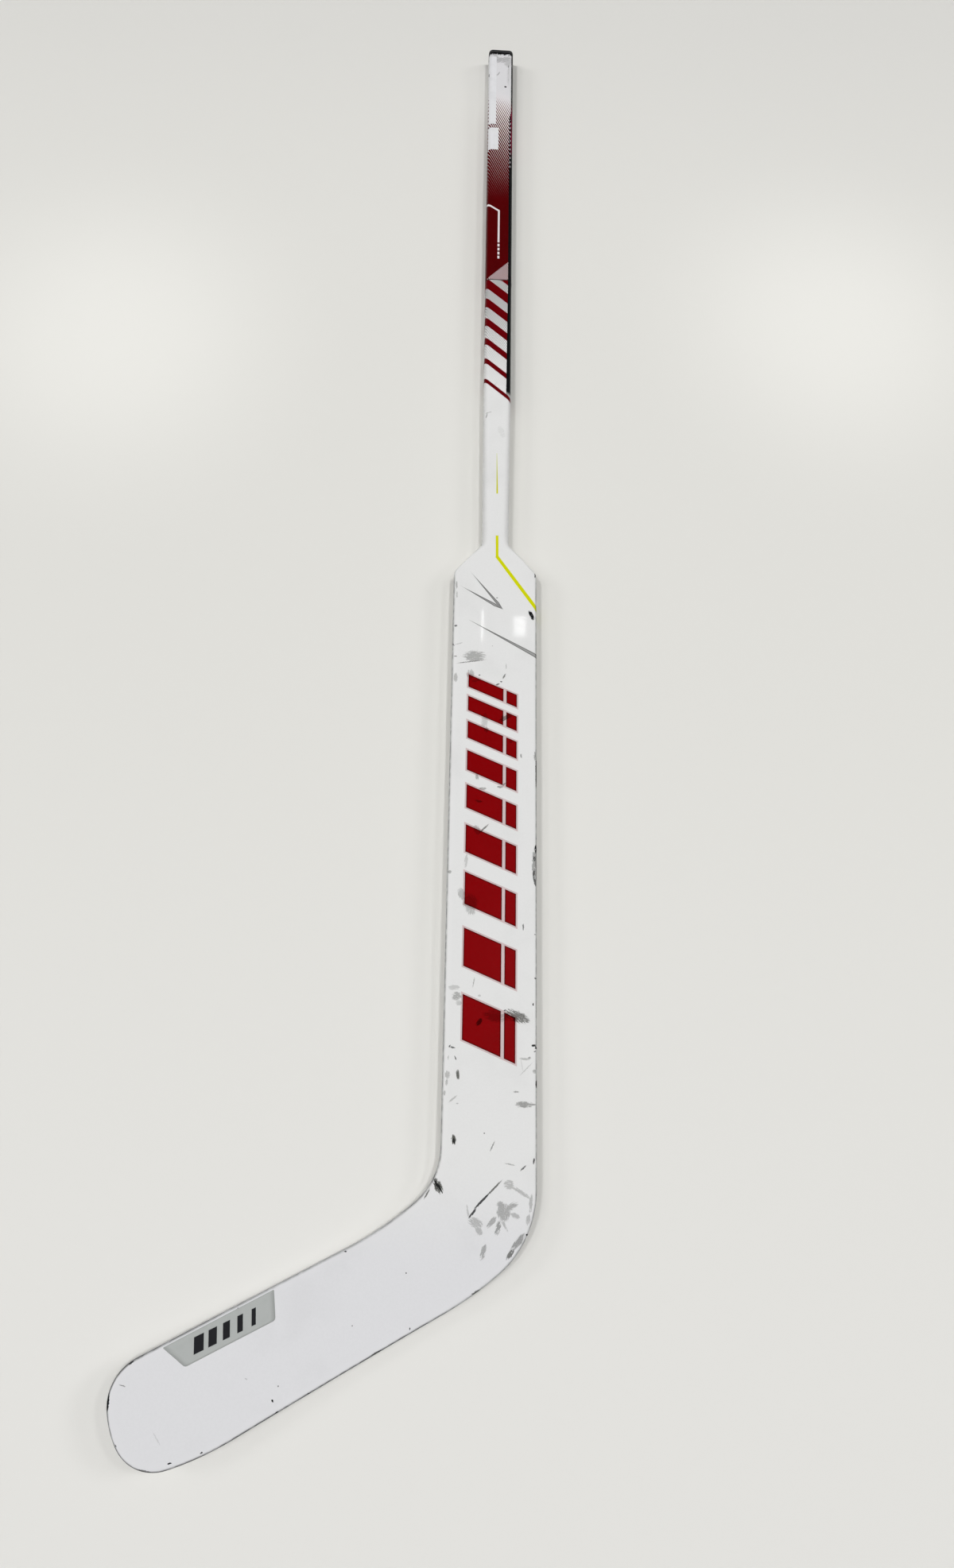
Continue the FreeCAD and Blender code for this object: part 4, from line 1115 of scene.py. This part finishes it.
# %% Paint on the body
SHAFT_FOOT_Y = 374.0
body_mesh = body.data
for paint_material in (shaft_paint, paddle_paint, blade_paint):
    body_mesh.materials.append(paint_material)
centres = np.empty(len(body_mesh.polygons) * 3, dtype=np.float32)
body_mesh.polygons.foreach_get("center", centres)
face_y = centres.reshape(-1, 3)[:, 1] * MM
face_paint = np.select([face_y > SHAFT_FOOT_Y, face_y > PADDLE_FOOT_Y], [0, 1], 2).astype(np.int32)
body_mesh.polygons.foreach_set("material_index", face_paint)
upper.data.materials.append(shaft_paint)
print("faces by paint:", np.bincount(face_paint))

# %% [markdown]
# ## Plug, films and what is inside
# The plug is black moulded plastic with a fine grain. The films are thin and smooth: plain white ones by
# the butt, and a grey one at the toe with a row of dark slanted bars. The pieces inside are never seen
# whole, but each gets a finish too: speckled foam, a dense core with grain, and dark woven laminate.

# %% Plug
PLUG_BLACK, PLUG_SCUFFED = srgb(15, 15, 17), srgb(64, 64, 66)
black = Finish("black_moulding")
black_at = black.places()
black_scuff = black.noise(black_at, (0.3, 0.9, 0.3), 4.0).rise(0.58, 0.75)
plug.data.materials.append(black.surface({
    "Base Color": black.blend(black_scuff * 0.5, PLUG_BLACK, PLUG_SCUFFED),
    "Roughness": 0.38 + black_scuff * 0.25, "Normal": black.bump(black.noise(black_at, 2.2, 3.0), 0.15)}))


# %% White films
FILM_WHITE, FILM_WHITE_GRIMY = srgb(222, 222, 224), srgb(203, 203, 205)
FILM_GREY, FILM_GREY_GRIMY, FILM_INK = srgb(174, 177, 175), srgb(160, 163, 161), srgb(24, 24, 28)


def film(name, tone, grimy_tone, marks=None):
    """A stuck-on film: its tone with faint grime, a slightly uneven gloss, and marks where they are
    given."""
    finish = Finish(name)
    at = finish.places()
    darkening = finish.noise(at, 0.12, 4.0).rise(0.45, 0.75)
    colour = finish.blend(darkening * 0.35, tone, grimy_tone)
    if marks:
        colour = finish.blend(marks(finish, at), colour, FILM_INK)
    return finish.surface({"Base Color": colour, "Roughness": 0.34 + 0.12 * darkening, "Specular IOR Level": 0.1,
                           "Normal": finish.bump(finish.noise(at, 0.6, 2.0), 0.08)})


white_film = film("white_film", FILM_WHITE, FILM_WHITE_GRIMY)

# %% Grey film with its bars
TOE_BARS_FROM, TOE_BARS_TO, TOE_BARS_STEP, TOE_BARS_LEAN = 262.0, 322.0, 12.0, 0.45
TOE_BARS_HALF, TOE_BARS_GROWTH = 1.6, 0.05
TOE_ROW_ACROSS, TOE_ROW_HALF, TOE_ROW_TILT, TOE_ROW_ALONG = 77.5, 6.2, 0.07, 258.0


def toe_bars(finish, at):
    """Five slanted bars along the film, each thicker than the last: half widths that grow along the row,
    less the distance to the middle of each step, cut off above, below and at both ends."""
    x, y, _ = finish.split(at)
    along = counted(x, y, HEEL_CORNER, ALONG)
    across = counted(x, y, HEEL_CORNER, ACROSS) - (along - TOE_ROW_ALONG) * TOE_ROW_TILT
    lean = along + across * TOE_BARS_LEAN
    half = (lean - TOE_BARS_FROM) * TOE_BARS_GROWTH + TOE_BARS_HALF
    bars = half - off_middle(lean, TOE_BARS_FROM, TOE_BARS_STEP, TOE_BARS_STEP / 2)
    bars = bars.least(TOE_ROW_HALF - abs(across - TOE_ROW_ACROSS))
    return inked(bars.least(lean - TOE_BARS_FROM).least(TOE_BARS_TO - lean))


toe_film.data.materials.append(film("grey_film", FILM_GREY, FILM_GREY_GRIMY, toe_bars))


# %% Inside pieces
def finish_nodes(material, *names):
    """Give the solids with these names a material in place of their own."""
    for name in names:
        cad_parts[name].data.materials.clear()
        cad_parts[name].data.materials.append(material)


foam = Finish("core_foam")
foam_cells = foam.node("ShaderNodeTexVoronoi", None, {"Vector": foam.places(), "Scale": 0.9})
foam_colour = foam.blend(foam_cells, srgb(214, 196, 148), srgb(236, 224, 190))
foam.surface({"Base Color": foam_colour, "Roughness": 0.9, "Normal": foam.bump(foam_cells, 0.4)})
dense = Finish("dense_core")
dense_grain = dense.noise(dense.places(), (0.9, 0.03, 0.9), 4.0)
dense_colour = dense.blend(dense_grain, srgb(120, 88, 56), srgb(176, 138, 94))
dense.surface({"Base Color": dense_colour, "Roughness": 0.6, "Normal": dense.bump(dense_grain, 0.2)})
woven = Finish("woven_laminate")
woven_x, woven_y, _ = woven.split(woven.places())
weave = (woven_x + woven_y).math("SINE") * (woven_x - woven_y).math("SINE")
woven_colour = woven.blend(inked(weave, 0.3), srgb(20, 20, 22), srgb(46, 46, 50))
woven.surface({"Base Color": woven_colour, "Roughness": 0.4, "Normal": woven.bump(weave, 0.2)})
finish_nodes(white_film, "shaft_strip_sticker", "shaft_label_sticker")
finish_nodes(foam.material, "paddle_left_core", "paddle_center_core", "paddle_right_core")
finish_nodes(foam.material, "blade_lower_core", "blade_upper_core")
finish_nodes(dense.material, "shaft_tenon", "shoulder_block", "heel_block")
finish_nodes(woven.material, "splice_insert", "paddle_left_rib", "paddle_right_rib", "blade_bridge")

# %% [markdown]
# ## Table and light
# The photograph was taken indoors on a plain pale table. Light comes from all round, so every edge has a
# soft shadow, and the glossy faces mirror a darker ceiling, so the red and the black stay deep. A bright
# sky would give the shadows but wash out the gloss. Three suns on either side, at three heights, give both,
# and a weak one from the near side and a dim sky fill them in. Two narrow spots leave the faint pools of
# light that the table shows on both sides of the shaft, and two small lamps overhead are what the lacquer
# mirrors as two bright marks.

# %% Table
TABLE_HALF, TABLE_Z = 4.0, -0.0004
# The near and far tones paint a falloff of the light onto the table: lighter at the near end, darker at the
# far end.
TABLE_NEAR_PAINTED_LIGHT, TABLE_MIDDLE, TABLE_FAR_PAINTED_SHADE = srgb(228, 227, 223), srgb(225, 224, 219), srgb(217, 216, 212)
table_mesh = bpy.data.meshes.new("table")
table_corners = [(x * TABLE_HALF, y * TABLE_HALF, TABLE_Z) for x, y in ((-1, -1), (1, -1), (1, 1), (-1, 1))]
table_mesh.from_pydata(table_corners, [], [(0, 1, 2, 3)])
table = bpy.data.objects.new("table", table_mesh)
bpy.context.scene.collection.objects.link(table)
table_finish = Finish("pale_table")
table_y = table_finish.split(table_finish.places())[1]
# Painted light falloff: the table lightens towards the near end and darkens towards the far end.
table_colour_with_painted_falloff = table_finish.blend(table_y.rise(350.0, -500.0), TABLE_MIDDLE, TABLE_NEAR_PAINTED_LIGHT)
table_colour_with_painted_falloff = table_finish.blend(table_y.rise(700.0, 1300.0), table_colour_with_painted_falloff, TABLE_FAR_PAINTED_SHADE)
table_mesh.materials.append(table_finish.surface({
    "Base Color": table_colour_with_painted_falloff, "Roughness": 0.55, "Specular IOR Level": 0.1}))


# %% Suns
def lamp_towards(name, kind, place, target, **settings):
    """A lamp of a kind at a place, turned so that it faces a target."""
    lamp = bpy.data.lights.new(name, kind)
    for setting, value in settings.items():
        setattr(lamp, setting, value)
    holder = bpy.data.objects.new(name, lamp)
    holder.location = place
    way = np.array(target, dtype=float) - np.array(place)
    pitch = math.atan2(math.hypot(way[0], way[1]), -way[2])
    holder.rotation_euler = (pitch, 0, math.atan2(-way[0], way[1]))
    bpy.context.scene.collection.objects.link(holder)
    print(name, "at", tuple(round(value, 2) for value in place), "with", settings["energy"])


SUN_DISTANCE, SKY_STRENGTH = 3.0, 0.14
SUNS = (
    ("high_left_sun", 184, 68, 0.8, 7),
    ("high_right_sun", 26, 76, 0.8, 6),
    ("middle_left_sun", 180, 54, 0.34, 8),
    ("middle_right_sun", 24, 54, 0.34, 8),
    ("low_left_sun", 170, 32, 0.45, 14),
    ("low_right_sun", 15, 32, 0.45, 14),
    ("near_sun", 235, 60, 0.12, 25))
for name, bearing, height, strength, width in SUNS:
    bearing, height = math.radians(bearing), math.radians(height)
    level = SUN_DISTANCE * math.cos(height)
    place = (level * math.cos(bearing), level * math.sin(bearing), SUN_DISTANCE * math.sin(height))
    lamp_towards(name, "SUN", place, (0, 0, 0), energy=strength, angle=math.radians(width))

# %% Pools, glints and world
LAMP_LEAN = 0.001
POOLS = (("left_pool", (-0.43, 0.62, 1.3)), ("right_pool", (0.4, 0.68, 1.3)))
GLINTS = (
    ("strip_glint", (0.068, 0.971, 1.5), 0.006, 0.085, 0.05),
    ("patch_glint", (0.162, 0.97, 1.5), 0.03, 0.055, 0.13))
for name, place in POOLS:
    lamp_towards(name, "SPOT", place, (place[0], place[1] + LAMP_LEAN, 0.0), energy=9.0,
                 spot_size=math.radians(19.0), spot_blend=1.0, shadow_soft_size=0.1)
for name, place, wide, long, energy in GLINTS:
    lamp_towards(name, "AREA", place, (place[0], place[1] + LAMP_LEAN, 0.0), energy=energy,
                 shape="RECTANGLE", size=wide, size_y=long)
world = bpy.data.worlds.new("room")
world.use_nodes = True
sky = world.node_tree.nodes["Background"]
sky.inputs["Color"].default_value = (1, 1, 1, 1)
sky.inputs["Strength"].default_value = SKY_STRENGTH
bpy.context.scene.world = world
